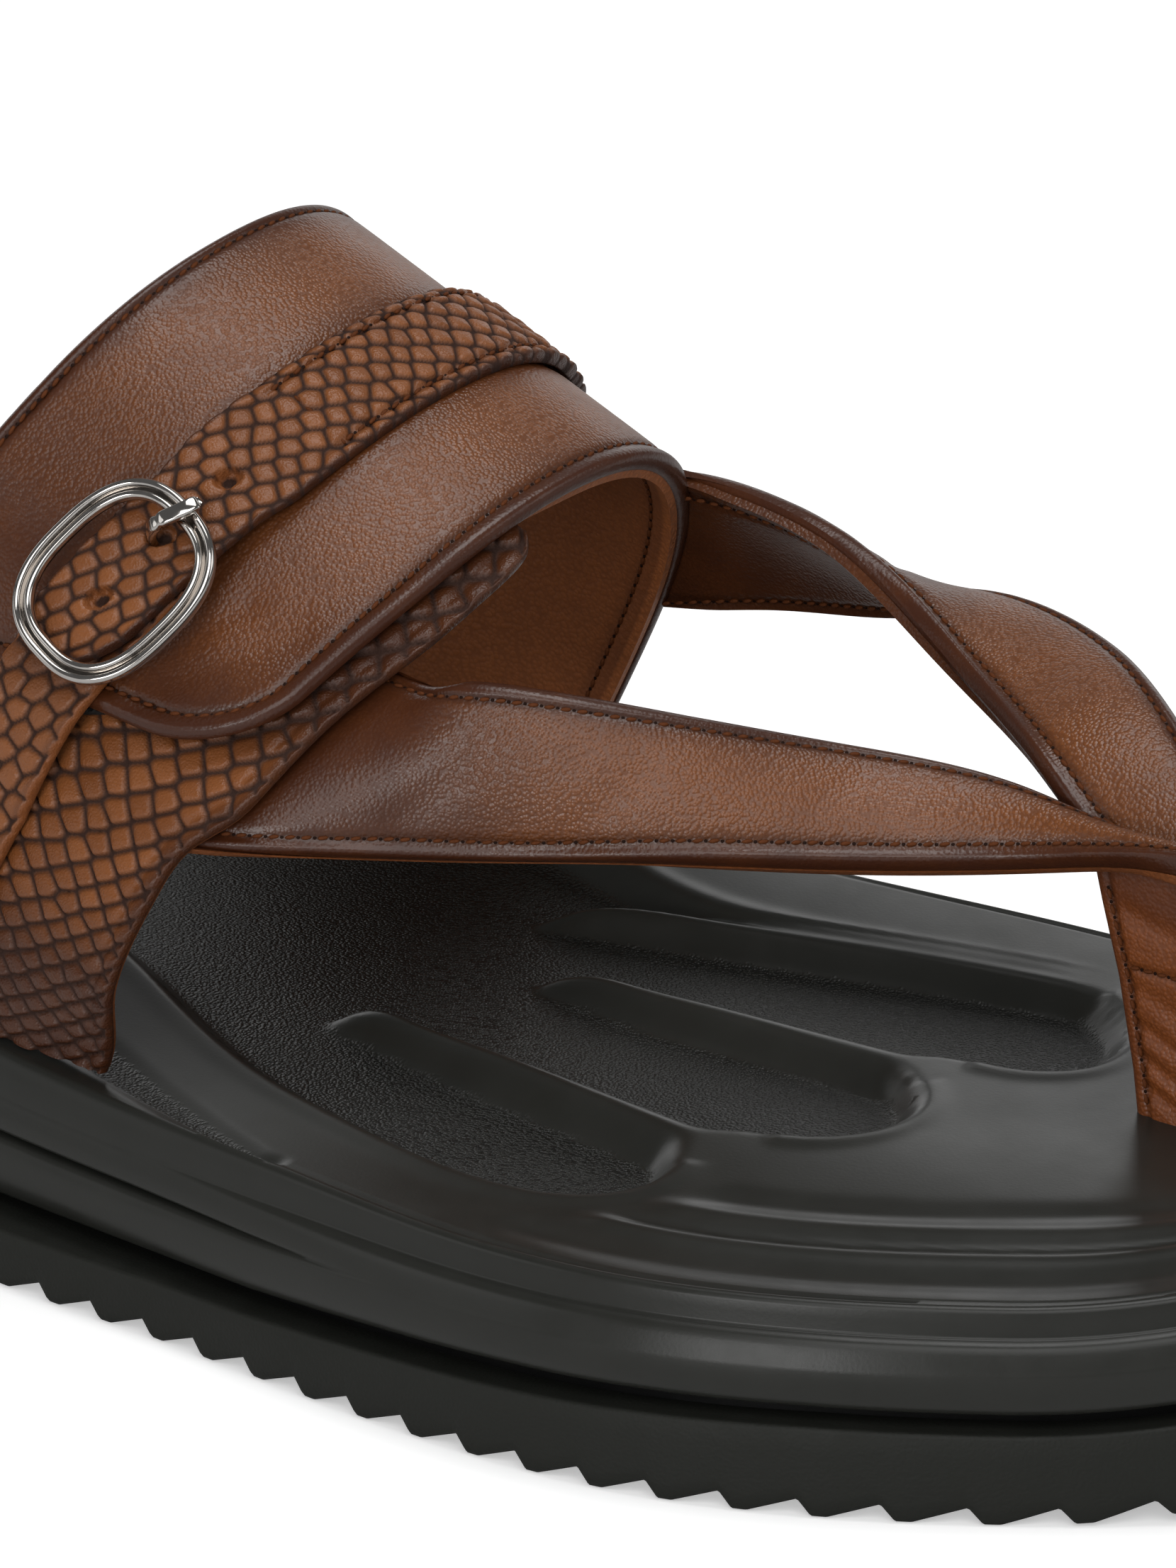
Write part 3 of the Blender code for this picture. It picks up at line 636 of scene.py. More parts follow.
GAP_DEPTH, GAP_BELOW, GAP_ABOVE, GAP_ROWS = 4.0, 0.5, 0.2, 2
STEP_FROM, STEP_TO = 138.0, 186.0
SPINE_HEEL, SPINE_TOE = (36.0, -1.0), (244.0, 9.0)
MEDIAL_BLEND = 20.0
BED_COLUMNS, BED_TOP_ROWS = 420, 78
BED_ROWS = 2 * (len(WALL_SHAPE) + GAP_ROWS + BED_TOP_ROWS)
TOP_CROWD, TOP_FADE, DISH_SHARE = 1.25, 0.02, 0.75


def toe_spring(x):
    share = np.clip((np.asarray(x, float) - TOE_SPRING_FROM) / (TOE_END - TOE_SPRING_FROM), 0, 1)
    return TOE_SPRING_RISE * share**2


def smooth_table(table):
    table = np.asarray(table, float)
    curve = spline(table[:, 0], table[:, 1:])
    return lambda value, index: curve(value)[:, index - 1]


rim_height = smooth_table(RIM_HEIGHT)
bed_height = smooth_table(BED_HEIGHT)
print("rows across the footbed:", BED_ROWS)

# %% Recess, ribs and arcs
RECESS_DEPTH = 3.1
RECESS_SLOPE = (-1.5, 3.2)
LIP_RISE, LIP_AT, LIP_SPREAD = 0.30, -1.9, 2.2
LIP_ENDS_AT_RIB, PEBBLE_ENDS_AT_RIB = (0.01, 0.12), (0.0, 0.07)
PEBBLE_DEPTH = (1.6, 3.0)
RECESS_OUTLINE = [
    # x, y
    (34.0, 4.0),
    (40.0, -8.0),
    (60.0, -14.0),
    (90.0, -14.5),
    (108.0, -17.5),
    (120.0, -22.0),
    (133.0, -28.3),
    (150.0, -35.3),
    (164.0, -39.0),
    (177.0, -41.4),
    (188.0, -41.6),
    (195.0, -39.6),
    (199.0, -35.5),
    (199.5, -30.5),
    (197.5, -26.0),
    (196.5, -21.5),
    (199.5, -17.8),
    (206.0, -15.0),
    (211.0, -9.8),
    (211.5, -4.0),
    (208.5, 1.5),
    (204.0, 6.0),
    (202.5, 10.5),
    (206.0, 13.2),
    (213.0, 14.6),
    (218.0, 19.0),
    (218.0, 25.0),
    (214.5, 31.5),
    (209.0, 35.5),
    (203.0, 38.2),
    (193.0, 36.6),
    (180.0, 33.0),
    (168.0, 30.0),
    (158.0, 29.0),
    (149.0, 30.2),
    (140.0, 32.4),
    (126.0, 33.5),
    (113.0, 31.5),
    (90.0, 28.5),
    (60.0, 25.0),
    (40.0, 17.0),
]
RIBS = [
    # crest x, y, half width, height as a share of the recess
    [
        (143.0, -17.8, 1.8, 0.0),
        (147.0, -16.9, 3.0, 0.75),
        (155.0, -17.2, 4.2, 1.0),
        (165.0, -18.2, 5.0, 1.05),
        (176.0, -19.2, 5.6, 1.05),
        (188.0, -20.3, 6.2, 1.0),
        (200.0, -21.8, 7.0, 1.0),
    ],
    [
        (153.5, 4.6, 1.8, 0.0),
        (158.5, 6.2, 3.0, 0.75),
        (166.0, 6.6, 4.4, 1.0),
        (177.0, 7.2, 5.4, 1.05),
        (188.0, 8.2, 6.2, 1.0),
        (203.0, 9.0, 7.5, 1.0),
    ],
    [
        (142.5, 18.0, 1.6, 0.0),
        (147.5, 21.4, 2.6, 0.75),
        (153.0, 23.8, 3.4, 1.0),
        (162.0, 26.6, 3.8, 1.0),
        (175.0, 30.6, 4.2, 1.0),
        (188.0, 34.6, 4.6, 1.0),
        (204.0, 38.6, 5.0, 1.0),
    ],
]
RIM_ARCS = [
    # distance in from the rim, half width, rise, first x, last x on the far side
    (24.4, 2.6, -0.40, 206.0, 214.0),
    (19.9, 2.4, 0.55, 202.5, 218.0),
    (16.1, 1.0, -0.40, 201.0, 222.0),
    (13.7, 1.9, 0.50, 198.5, 224.0),
    (8.4, 3.0, -0.45, 192.0, 226.0),
]
ARC_SHARPNESS, ARC_RUN_IN, ARC_RUN_ON = 1.6, 1.0, 5.0
RIM_GROOVE, RIM_GROOVE_RUN = (3.35, 0.28, -0.30), (150.0, 190.0)
SIDE_STRIP = [
    # x, y, half width
    (120.0, -38.5, 3.0),
    (131.0, -42.2, 2.4),
    (143.0, -46.4, 1.5),
    (155.0, -50.4, 0.7),
    (162.0, -52.4, 0.2),
]
STRIP_DEPTH, STRIP_SLOPE, STRIP_PEBBLE = 0.7, (-2.2, 1.2), (-0.2, 0.5)
STRIP_SIDE, STRIP_END, STRIP_RUN_IN = -20.0, 165.0, (95.0, 120.0)
print("ribs:", len(RIBS), "arcs along the toe rim:", len(RIM_ARCS))

# %% Footbed relief


def inside(points, outline):
    """Whether each point lies inside a closed outline, by counting crossings."""
    x, y = points[:, 0], points[:, 1]
    odd = np.zeros(len(points), bool)
    for (x0, y0), (x1, y1) in zip(outline, np.roll(outline, -1, axis=0)):
        crosses = (y0 > y) != (y1 > y)
        with np.errstate(divide="ignore", invalid="ignore"):
            odd ^= crosses & (x < (x1 - x0) * (y - y0) / (y1 - y0) + x0)
    return odd


def recess_depth(points):
    """How deep each plan point lies inside the recess."""
    border = closed_curve(RECESS_OUTLINE, 700)
    return nearest(points, border) * np.where(inside(points, border), 1.0, -1.0)


def rib_height(points, rows):
    """Height of one rib as a share: a rounded crest that fades to nothing at its nose."""
    rows = np.asarray(rows, float)
    walk = walked(rows[:, :2])
    fine = spline(walk, rows)(np.linspace(0.0, walk[-1], 300))
    distance, index = nearest_with_index(points, fine[:, :2])
    share = np.clip(distance / fine[index, 2], 0.0, 1.0)
    return np.clip(fine[index, 3], 0.0, None) * (0.5 + 0.5 * np.cos(np.pi * share)) ** 1.1


def bed_relief(points, from_rim):
    """Height of the moulded ridges, arcs and lines over the plain dish, and the pebbled mask."""
    x, y = points[:, 0], points[:, 1]
    deep = recess_depth(points)
    ribs = strongest(*[rib_height(points, rows) for rows in RIBS])
    relief = -RECESS_DEPTH * ease(deep, *RECESS_SLOPE) * (1 - ribs)
    lip = LIP_RISE * np.exp(-((deep - LIP_AT) ** 2) / LIP_SPREAD)
    relief += lip * (1 - ease(ribs, *LIP_ENDS_AT_RIB))
    pebble = ease(deep, *PEBBLE_DEPTH) * (1 - ease(ribs, *PEBBLE_ENDS_AT_RIB))
    for distance, half, rise, first, last in RIM_ARCS:
        start = np.where(y < 0, first, last)
        bead = bell(from_rim - distance, half) ** ARC_SHARPNESS
        relief += rise * bead * ease(x, start - ARC_RUN_IN, start + ARC_RUN_ON)
    distance, half, rise = RIM_GROOVE
    relief += rise * bell(from_rim - distance, half) * ease(x, *RIM_GROOVE_RUN)
    strip = np.array(SIDE_STRIP)
    half = np.interp(x, strip[:, 0], strip[:, 2], left=0.0, right=0.0)
    across = half - np.abs(y - column(SIDE_STRIP, x, 1))
    near = (y < STRIP_SIDE) & (x < STRIP_END)
    relief -= STRIP_DEPTH * ease(across, *STRIP_SLOPE) * near * ease(x, *STRIP_RUN_IN)
    return relief, np.maximum(pebble, ease(across, *STRIP_PEBBLE) * near)


# %% Footbed piece


def footbed_point(s, t):
    """One row runs up the lateral wall, over the top and down the medial wall."""
    wall = np.asarray(WALL_SHAPE)
    row = np.round(t * BED_ROWS).astype(int)
    lateral = row <= BED_ROWS // 2
    step = np.where(lateral, row, BED_ROWS - row)
    on_lateral = side_of_rim(s, True)
    on_medial = side_of_rim(s, False)
    edge = np.where(lateral[:, None], on_lateral[0], on_medial[0])
    out = np.where(lateral[:, None], on_lateral[1], on_medial[1])
    x, y = edge[:, 0], edge[:, 1]
    medial = ease(y, -MEDIAL_BLEND, MEDIAL_BLEND)
    lift = toe_spring(x)
    rim = rim_height(x, 1) * (1 - medial) + rim_height(x, 2) * medial + lift
    sole = column(SOLE_LINE, x, 1) + lift
    foot = column(SOLE_LINE, x, 2) + lift
    stepped = ease(x, STEP_FROM, STEP_TO)
    index = np.clip(step - GAP_ROWS, 0, len(wall) - 1)
    inset = wall[index, 1] * stepped + wall[index, 2] * (1 - stepped)
    inset = np.where(step < GAP_ROWS, GAP_DEPTH, inset)
    height = foot + (rim - foot) * wall[index, 0]
    height = np.where(step == 0, sole - GAP_BELOW, np.where(step == 1, foot + GAP_ABOVE, height))
    over = np.clip((step - len(wall) - GAP_ROWS + 1) / (BED_TOP_ROWS + 1), 0.0, 1.0)
    share = over**TOP_CROWD
    along = ease((on_lateral[0][:, 0] + on_medial[0][:, 0]) / 2, 0.0, TOE_END)
    spine = np.stack([a + (b - a) * along for a, b in zip(SPINE_HEEL, SPINE_TOE)], axis=1)
    plan = edge - out * inset[:, None]
    plan = plan + (spine - plan) * share[:, None]
    middle = bed_height(plan[:, 0], 1) + toe_spring(plan[:, 0])
    dish = rim + (middle - rim) * ease(share, 0.0, DISH_SHARE)
    on_top = over > 0
    relief, pebble = np.zeros(len(s)), np.zeros(len(s))
    top_plan = plan[on_top]
    relief[on_top], pebble[on_top] = bed_relief(top_plan, nearest(top_plan, RIM))
    height = np.where(on_top, dish + relief * ease(over, 0.0, TOP_FADE), height)
    # The gap's rows are marked so that the colour paints them black as their shadow.
    gap = np.where(step <= GAP_ROWS, 1.0, 0.0)
    return np.column_stack([plan, height]), {"pebble": pebble, "gap": gap}


shape = close_ends(woven_grid(BED_COLUMNS, BED_ROWS, footbed_point))
piece("moulded_footbed", shape, FOAM, "footbed_foam", "footbed")

# %% [markdown]
# Outsole
#
# The ripple sole is cut across with small saw teeth: a steep face towards the heel, a short flat land and a
# long slope. Each section across the foot is one closed loop, and the sections stand close together at the
# corners of every tooth, so the corners are slightly rounded, as on cast rubber.

# %% Outsole sizes
TOOTH_PITCH, TOOTH_DEPTH = 7.63, 1.8
TOOTH_LAND, TOOTH_FACE = 1.5, 1.3
TOOTH_CORNERS = [(-TOOTH_FACE, TOOTH_DEPTH), (0.0, 0.0), (TOOTH_LAND, 0.0)]
MIDDLE_TIP = 134.2
TEETH_BEHIND, TEETH_AHEAD = 18, 20
HEEL_BEVEL_TO, HEEL_BEVEL_RISE = 26.0, 3.5
WAIST_FROM, WAIST_TO, WAIST_RISE = 72.0, 128.0, 2.0
CORNER_STEPS = (-0.32, -0.12, 0.12, 0.32)
CORNER_ROUND, SLOPE_STEP = 0.16, 3.5
END_STEPS = np.linspace(0.0, 3.2, 26) ** 2
SOLE_LIP, SOLE_NARROWEST, REACH_NARROWEST = 0.5, 0.02, 0.01
BOTTOM_ROWS = 14
SOLE_FLARE = [
    # x, how far the lateral side stands out past the footbed
    (0.0, 0.0),
    (60.0, 1.5),
    (100.0, 3.2),
    (127.0, 3.2),
    (138.0, 2.4),
    (150.0, 1.3),
    (165.0, 0.7),
    (185.0, 0.2),
    (200.0, 0.0),
]
SOLE_SECTION = [
    # share of the side's height, inset
    (1.00, 6.0),
    (1.00, 0.55),
    (0.985, 0.15),
    (0.95, 0.0),
    (0.70, -0.05),
    (0.45, 0.0),
    (0.20, 0.1),
    (0.06, 0.2),
    (0.00, 0.55),
]
print("teeth:", TEETH_BEHIND + TEETH_AHEAD + 1, "every", TOOTH_PITCH, "mm")

# %% Outsole piece


def ground_rise(x):
    """How far the ground side lifts: toe spring, heel bevel and waist."""
    heel = HEEL_BEVEL_RISE * np.clip((HEEL_BEVEL_TO - x) / HEEL_BEVEL_TO, 0, 1) ** 2
    waist = WAIST_RISE * np.sin(np.pi * np.clip((x - WAIST_FROM) / (WAIST_TO - WAIST_FROM), 0, 1)) ** 2
    return toe_spring(x) + heel + waist


tips = np.arange(-TEETH_BEHIND, TEETH_AHEAD + 1) * TOOTH_PITCH + MIDDLE_TIP
corner_x, corner_z = np.transpose(sorted((x + shift, rise) for x in tips for shift, rise in TOOTH_CORNERS))
stations = np.concatenate([corner_x[:, None] + np.array(CORNER_STEPS), tips[:, None] + SLOPE_STEP], axis=None)
stations = stations[(stations > END_STEPS[-1]) & (stations < TOE_END - END_STEPS[-1])]
stations = np.sort(np.concatenate([stations, END_STEPS, TOE_END - END_STEPS]))
window = np.linspace(-CORNER_ROUND, CORNER_ROUND, 9)
tooth = np.mean([np.interp(stations + w, corner_x, corner_z) for w in window], axis=0)
ground = tooth + ground_rise(stations)
LATERAL_RIM = RIM[: TOE_INDEX + 1]
MEDIAL_RIM = np.concatenate([RIM[:1], RIM[: TOE_INDEX - 1 : -1]])
SOLE_ROWS = 2 * len(SOLE_SECTION) + BOTTOM_ROWS


def outsole_point(s, t):
    """One row runs down the lateral side, across the bottom and up the medial side."""
    section = np.asarray(SOLE_SECTION)
    row = np.round(t * SOLE_ROWS).astype(int) % SOLE_ROWS
    k = np.round(s * (len(stations) - 1)).astype(int)
    x = stations[k]
    lateral = row < len(section)
    across = np.clip((row - len(section) + 1) / (BOTTOM_ROWS + 1), 0.0, 1.0)
    medial = row >= len(section) + BOTTOM_ROWS
    index = np.where(lateral, row, np.where(medial, SOLE_ROWS - 1 - row, len(section) - 1))
    near_y = np.interp(x, LATERAL_RIM[:, 0], LATERAL_RIM[:, 1]) - column(SOLE_FLARE, x, 1)
    far_y = np.interp(x, MEDIAL_RIM[:, 0], MEDIAL_RIM[:, 1])
    half = np.maximum((far_y - near_y) / 2 + SOLE_LIP, SOLE_NARROWEST)
    reach = np.maximum(half - section[index, 1], REACH_NARROWEST)
    y = (near_y + far_y) / 2 + reach * np.where(lateral, -1.0, np.where(medial, 1.0, 2 * across - 1))
    top = column(SOLE_LINE, x, 1) + toe_spring(x)
    z = ground[k] + (top - ground[k]) * section[index, 0]
    return np.column_stack([x, y, z]), {}


shape = close_ends(woven_grid(len(stations) - 1, SOLE_ROWS, outsole_point))
piece("ripple_outsole", shape, RUBBER, "outsole_rubber", "outsole")

# %% [markdown]
# Leather and thread
#
# The smooth leather is light brown, burnished dark along its edges, with painted shade where parts overlap
# and a fine pebbled grain whose creases are darkened as painted shade. The embossed leather has scales
# pressed into it, dark in the grooves, partly its own groove colour and partly painted shade. The lining is
# tan and duller. Each is a Principled shader that reads the marks of its piece. Thread, nickel and hook
# fabric need only a fine noise.

# %% Leather materials
SEAM_BROWN, RAW_TAN = (0.026, 0.009, 0.004, 1.0), (0.20, 0.066, 0.020, 1.0)
SHINE_SPREAD = 0.05


def burnished(name, light, dark, size, depth, shine):
    """Smooth grain leather that darkens with the mark edge, burnish and painted shade, with painted shade in
    its grain's creases, and in the stitched trough.
    """
    made, tree, shader = finish(name, specular_ior_level=0.42)
    grain = use(tree, GRAIN, {"Size": size, "Softness": 0.12})
    edge = attribute(tree, "edge")
    colour = use(tree, BURNISH_AND_SHADE, {"Light": light, "Dark": dark, "Edge": edge, "Blotch": grain["Blotch"]})
    sunk = math_node(tree, "MULTIPLY", attribute(tree, "stitch"), 0.5)
    # Painted shade: the grain's low creases are darkened towards the dark colour.
    crease_shade = stretch(tree, grain["Height"], 0.25, 0.75, 0.34, 0.0)
    crease_shaded = mix_colour(tree, crease_shade, colour["Color"], dark)
    base = mix_colour(tree, sunk, crease_shaded, SEAM_BROWN)
    pulled_flat = stretch(tree, edge, 0.5, 1.0, 1.0, 0.3)
    pebbles = math_node(tree, "MULTIPLY", grain["Height"], pulled_flat)
    rough = stretch(tree, grain["Blotch"], *BLOTCH, shine - SHINE_SPREAD, shine + SHINE_SPREAD)
    dress(tree, shader, base, rough, pebbles, depth)
    return made


def embossed(name, light, pale, dark, groove):
    """Leather pressed into scales: the marks groove, tone, edge and raw set its colour; groove and edge also
    carry painted shade.
    """
    made, tree, shader = finish(name, specular_ior_level=0.36)
    grain = use(tree, GRAIN, {"Size": 0.00030, "Softness": 0.3})
    patchy = stretch(tree, grain["Blotch"], *BLOTCH, 0.0, 0.4)
    tone = math_node(tree, "MULTIPLY_ADD", attribute(tree, "tone"), 0.8, patchy)
    top = mix_colour(tree, tone, light, pale)
    edge = attribute(tree, "edge")
    worn = use(tree, BURNISH_AND_SHADE, {"Light": top, "Dark": dark, "Edge": edge, "Blotch": grain["Blotch"]})
    sunk = attribute(tree, "groove")
    cut = mix_colour(tree, attribute(tree, "raw"), worn["Color"], RAW_TAN)
    base = mix_colour(tree, sunk, cut, groove)
    dull = stretch(tree, grain["Blotch"], *BLOTCH, 0.34, 0.46)
    rough = math_node(tree, "MULTIPLY_ADD", sunk, 0.45, dull)
    dress(tree, shader, base, rough, grain["Height"], depth=0.00004)
    return made


LEATHER = burnished(
    "burnished_leather", (0.170, 0.0550, 0.0148, 1.0), (0.046, 0.0125, 0.0044, 1.0), 0.00042, 0.00006, 0.33)
POST_LEATHER = burnished(
    "toe_post_leather", (0.240, 0.067, 0.0150, 1.0), (0.080, 0.021, 0.0064, 1.0), 0.00046, 0.00006, 0.42)
LINING = burnished(
    "tan_lining", (0.34, 0.108, 0.030, 1.0), (0.13, 0.038, 0.011, 1.0), 0.00055, 0.00005, 0.58)
SCALED = embossed(
    "scale_embossed_leather", (0.152, 0.0485, 0.0134, 1.0), (0.220, 0.0745, 0.0222, 1.0),
    (0.045, 0.0130, 0.0048, 1.0), (0.022, 0.0062, 0.0020, 1.0))
print("leathers:", LEATHER.name, POST_LEATHER.name, LINING.name, SCALED.name)

# %% Thread, nickel and hook fabric
THREAD_BROWN = [(0.060, 0.0175, 0.0056, 1.0), (0.120, 0.036, 0.0108, 1.0)]
# Needle holes are painted dark as the shadow inside them.
NEEDLE_HOLE_SHADOW = (0.012, 0.004, 0.002, 1.0)
NICKEL_GREY = [(0.50, 0.475, 0.45, 1.0), (0.58, 0.55, 0.52, 1.0)]
PILE_BLACK = [(0.004, 0.004, 0.004, 1.0), (0.02, 0.02, 0.019, 1.0)]

THREAD, tree, shader = finish("waxed_thread", roughness=0.7, specular_ior_level=0.1)
brown = mix_colour(tree, speckle(tree, 2500.0), *THREAD_BROWN)
dress(tree, shader, mix_colour(tree, attribute(tree, "hole"), brown, NEEDLE_HOLE_SHADOW))

NICKEL, tree, shader = finish("polished_nickel", metallic=1.0, roughness=0.12)
scratch = speckle(tree, 900.0, detail=4.0)
dress(tree, shader, mix_colour(tree, scratch, *NICKEL_GREY), stretch(tree, scratch, 0.35, 0.7, 0.07, 0.17))

FUZZ, tree, shader = finish("hook_fabric", roughness=0.9, specular_ior_level=0.2)
pile = speckle(tree, 2200.0, detail=3.0)
dress(tree, shader, mix_colour(tree, pile, *PILE_BLACK), height=pile, depth=0.0003)
print("trim:", THREAD.name, NICKEL.name, FUZZ.name)

# %% [markdown]
# The instep form
#
# A shoemaker lasts the band and the quarter over one wooden last, so both lie on one form. It is drawn by two
# sections, at the back and at the front of the instep, and ruled straight between them: u runs from the
# back section to the front one, v from the inner base over the instep to the outer base.

# %% Instep form
SECTION_LEAN, SECTION_FOOT = 0.5, 25.0
BACK_SECTION, FRONT_SECTION = 78.0, 133.0
INSTEP = [
    # v, back y, back z, front y, front z
    (0.00, 32.0, 28.0, 38.0, 26.0),
    (0.09, 33.5, 48.0, 36.2, 41.0),
    (0.18, 31.5, 67.0, 33.6, 54.0),
    (0.26, 27.5, 83.0, 29.8, 64.5),
    (0.34, 19.5, 95.0, 23.5, 73.5),
    (0.42, 8.0, 101.2, 14.5, 79.0),
    (0.50, -5.0, 101.0, 3.0, 79.6),
    (0.58, -18.0, 96.4, -9.0, 76.5),
    (0.66, -29.0, 86.8, -21.0, 70.5),
    (0.74, -36.0, 73.5, -33.0, 62.5),
    (0.82, -39.5, 58.5, -42.5, 52.0),
    (0.91, -40.0, 42.0, -47.0, 39.0),
    (1.00, -38.0, 28.0, -46.5, 25.0),
]
INSTEP_CURVE = spline([row[0] for row in INSTEP], [row[1:] for row in INSTEP])
NUDGE = 1e-3


def form(u, v):
    """Points of the instep form."""
    u, v = (np.ravel(a) for a in np.broadcast_arrays(np.asarray(u, float), np.asarray(v, float)))
    row = INSTEP_CURVE(v)
    y = row[:, 0] * (1 - u) + row[:, 2] * u
    z = row[:, 1] * (1 - u) + row[:, 3] * u
    x = BACK_SECTION + (FRONT_SECTION - BACK_SECTION) * u + SECTION_LEAN * (z - SECTION_FOOT)
    return np.stack([x, y, z], axis=1)


def form_sides(u, v):
    """The form's change per unit of u and per unit of v."""
    across = (form(np.add(u, NUDGE), v) - form(np.subtract(u, NUDGE), v)) / (2 * NUDGE)
    around = (form(u, np.add(v, NUDGE)) - form(u, np.subtract(v, NUDGE))) / (2 * NUDGE)
    return across, around


def unit(vectors):
    return vectors / np.linalg.norm(vectors, axis=-1, keepdims=True)


def form_normal(u, v):
    """The direction straight out of the form."""
    across, around = form_sides(u, v)
    return unit(np.cross(around, across))


def instep(u, v, offset):
    """Points over the form, offset out from it."""
    return form(u, v) + form_normal(u, v) * np.reshape(offset, (-1, 1))


def mm_per(u, v):
    """Millimetres per unit of u and of v at a place on the form."""
    across, around = form_sides(u, v)
    return np.linalg.norm(across, axis=1), np.linalg.norm(around, axis=1)


print("height of the instep in mm:", round(form(0.0, np.linspace(0.0, 1.0, 100))[:, 2].max(), 1))


# %% [markdown]
# Sheets and their edges
#
# Leather is a sheet with a finished edge: turned over a cord into a bead, folded, or cut. Real edges show
# at arm's length, so they are modelled. Each edge is a short table: at a distance from the edge, how far
# the outer and the inner face rise. One helper makes a closed sheet, finer towards its edges.

# %% Edge tables
BEAD = [
    # distance from the edge, outer face, inner face
    (0.00, -1.15, 0.75),
    (0.06, -0.78, 0.42),
    (0.25, -0.36, 0.12),
    (0.60, 0.00, 0.00),
    (1.00, 0.16, 0.00),
    (1.40, 0.12, 0.00),
    (1.85, -0.02, 0.00),
    (2.25, -0.20, 0.00),
    (2.60, -0.38, 0.00),
    (2.95, -0.18, 0.00),
    (3.50, -0.02, 0.00),
    (6.50, 0.00, 0.00),
]
BEAD_STITCH = 2.6
FOLD = [
    # distance from the edge, outer face, inner face
    (0.00, -1.20, 0.70),
    (0.06, -0.80, 0.40),
    (0.25, -0.40, 0.10),
    (0.55, -0.10, 0.00),
    (0.85, 0.00, 0.00),
    (1.10, -0.04, 0.00),
    (1.35, -0.18, 0.00),
    (1.60, -0.34, 0.00),
    (1.90, -0.14, 0.00),
    (2.40, -0.02, 0.00),
    (5.00, 0.00, 0.00),
]
FOLD_STITCH = 1.6
CUT = [
    # distance from the edge, outer face, inner face
    (0.00, -0.55, 0.25),
    (0.08, -0.25, 0.08),
    (0.25, -0.06, 0.00),
    (0.60, 0.00, 0.00),
    (5.00, 0.00, 0.00),
]
BURN = [
    # distance from the edge, darkness
    (0.0, 1.0),
    (2.0, 0.92),
    (3.2, 0.60),
    (5.0, 0.28),
    (8.0, 0.08),
    (12.0, 0.0),
]
print("edge widths in mm:", BEAD[-1][0], FOLD[-1][0], CUT[-1][0])

# %% Sheet helpers


def sheet(columns, rows, place):
    """A closed sheet: place(s, t) gives its outer points, its inner points and its marks."""
    shape = bmesh.new()
    bmesh.ops.create_grid(shape, x_segments=columns, y_segments=rows, size=0.5)
    raised = bmesh.ops.extrude_face_region(shape, geom=shape.faces[:], use_keep_orig=True)
    outer = {item for item in raised["geom"] if isinstance(item, bmesh.types.BMVert)}
    flat = np.array([(p.co.x + 0.5, p.co.y + 0.5) for p in shape.verts])
    flags = np.array([p in outer for p in shape.verts])
    outside, within, marks = place(flat[:, 0], flat[:, 1])
    for point, position in zip(shape.verts, world(np.where(flags[:, None], outside, within))):
        point.co = position
    for name, values in marks.items():
        mark(shape, name, values)
    return shape


def crowd(share, amount):
    """Moves evenly spread shares towards both ends."""
    return share - amount * np.sin(2 * np.pi * share) / (2 * np.pi)


def dense(line, step=0.05):
    """The same line with points at every step."""
    walk = walked(line)
    even = np.linspace(0.0, walk[-1], max(int(walk[-1] / step), 2))
    return np.stack([np.interp(even, walk, line[:, k]) for k in range(line.shape[1])], axis=1)


def trough(distance, centre, half=0.45):
    """A narrow dip along a line, as a share."""
    return bell(distance - centre, half)


# %% [markdown]
# Stitches
#
# Thread shows as short slanting dashes that dip into the leather, with a needle hole between each two. A
# dash or hole is a small stretched sphere, turned along the seam and sunk in; a hole is painted dark as the
# shadow inside it. They are made in short runs, which are then joined into one piece for each seam: adding
# to a short run is quick, and to a long seam slow.

# %% Stitch helper
STITCH_PITCH, STITCH_LENGTH, STITCH_WIDTH = 1.75, 1.25, 0.50
STITCH_SLANT, STITCH_LOOK = 0.16, 0.4
STITCH_START, STITCH_STOP = 0.7, 0.4
HOLE_SIZE = (0.44, 0.42, 0.14)
STITCH_RUN = 8
print("stitches in 100 mm:", int(100 / STITCH_PITCH))


def dot(shape, centre, axes, mark_value):
    """Adds one small stretched sphere; its mark hole tells thread (0) from needle hole (1), painted dark as
    shadow.
    """
    layer = shape.verts.layers.float.get("hole") or shape.verts.layers.float.new("hole")
    turn = Matrix.Identity(4)
    for row in range(3):
        for k, axis in enumerate(axes):
            turn[row][k] = axis[row] * MM
        turn[row][3] = centre[row]
    made = bmesh.ops.create_uvsphere(shape, u_segments=8, v_segments=5, radius=1.0, matrix=turn)
    for point in made["verts"]:
        point[layer] = mark_value


def stitch_run(line, normals, walk, places, sink):
    """One short run of dashes and needle holes, as a mesh of its own."""
    run = bmesh.new()
    for place in places:
        steps = place + np.array([-STITCH_LOOK, 0.0, STITCH_LOOK, STITCH_PITCH / 2])
        before, centre, after, hole = np.stack([np.interp(steps, walk, line[:, k]) for k in range(3)], axis=1)
        up = unit(np.array([np.interp(place, walk, normals[:, k]) for k in range(3)]))
        side = unit(np.cross(up, after - before))
        along = unit(unit(after - before) + STITCH_SLANT * side)
        side = unit(np.cross(up, along))
        axes = (along * STITCH_LENGTH / 2, side * STITCH_WIDTH / 2, up * STITCH_WIDTH / 2)
        dot(run, world([centre - up * sink])[0], axes, 0.0)
        axes = [axis * size / 2 for axis, size in zip((along, side, up), HOLE_SIZE)]
        dot(run, world([hole - up * sink])[0], axes, 1.0)
    mesh = bpy.data.meshes.new("stitch_run")
    run.to_mesh(mesh)
    run.free()
    return mesh


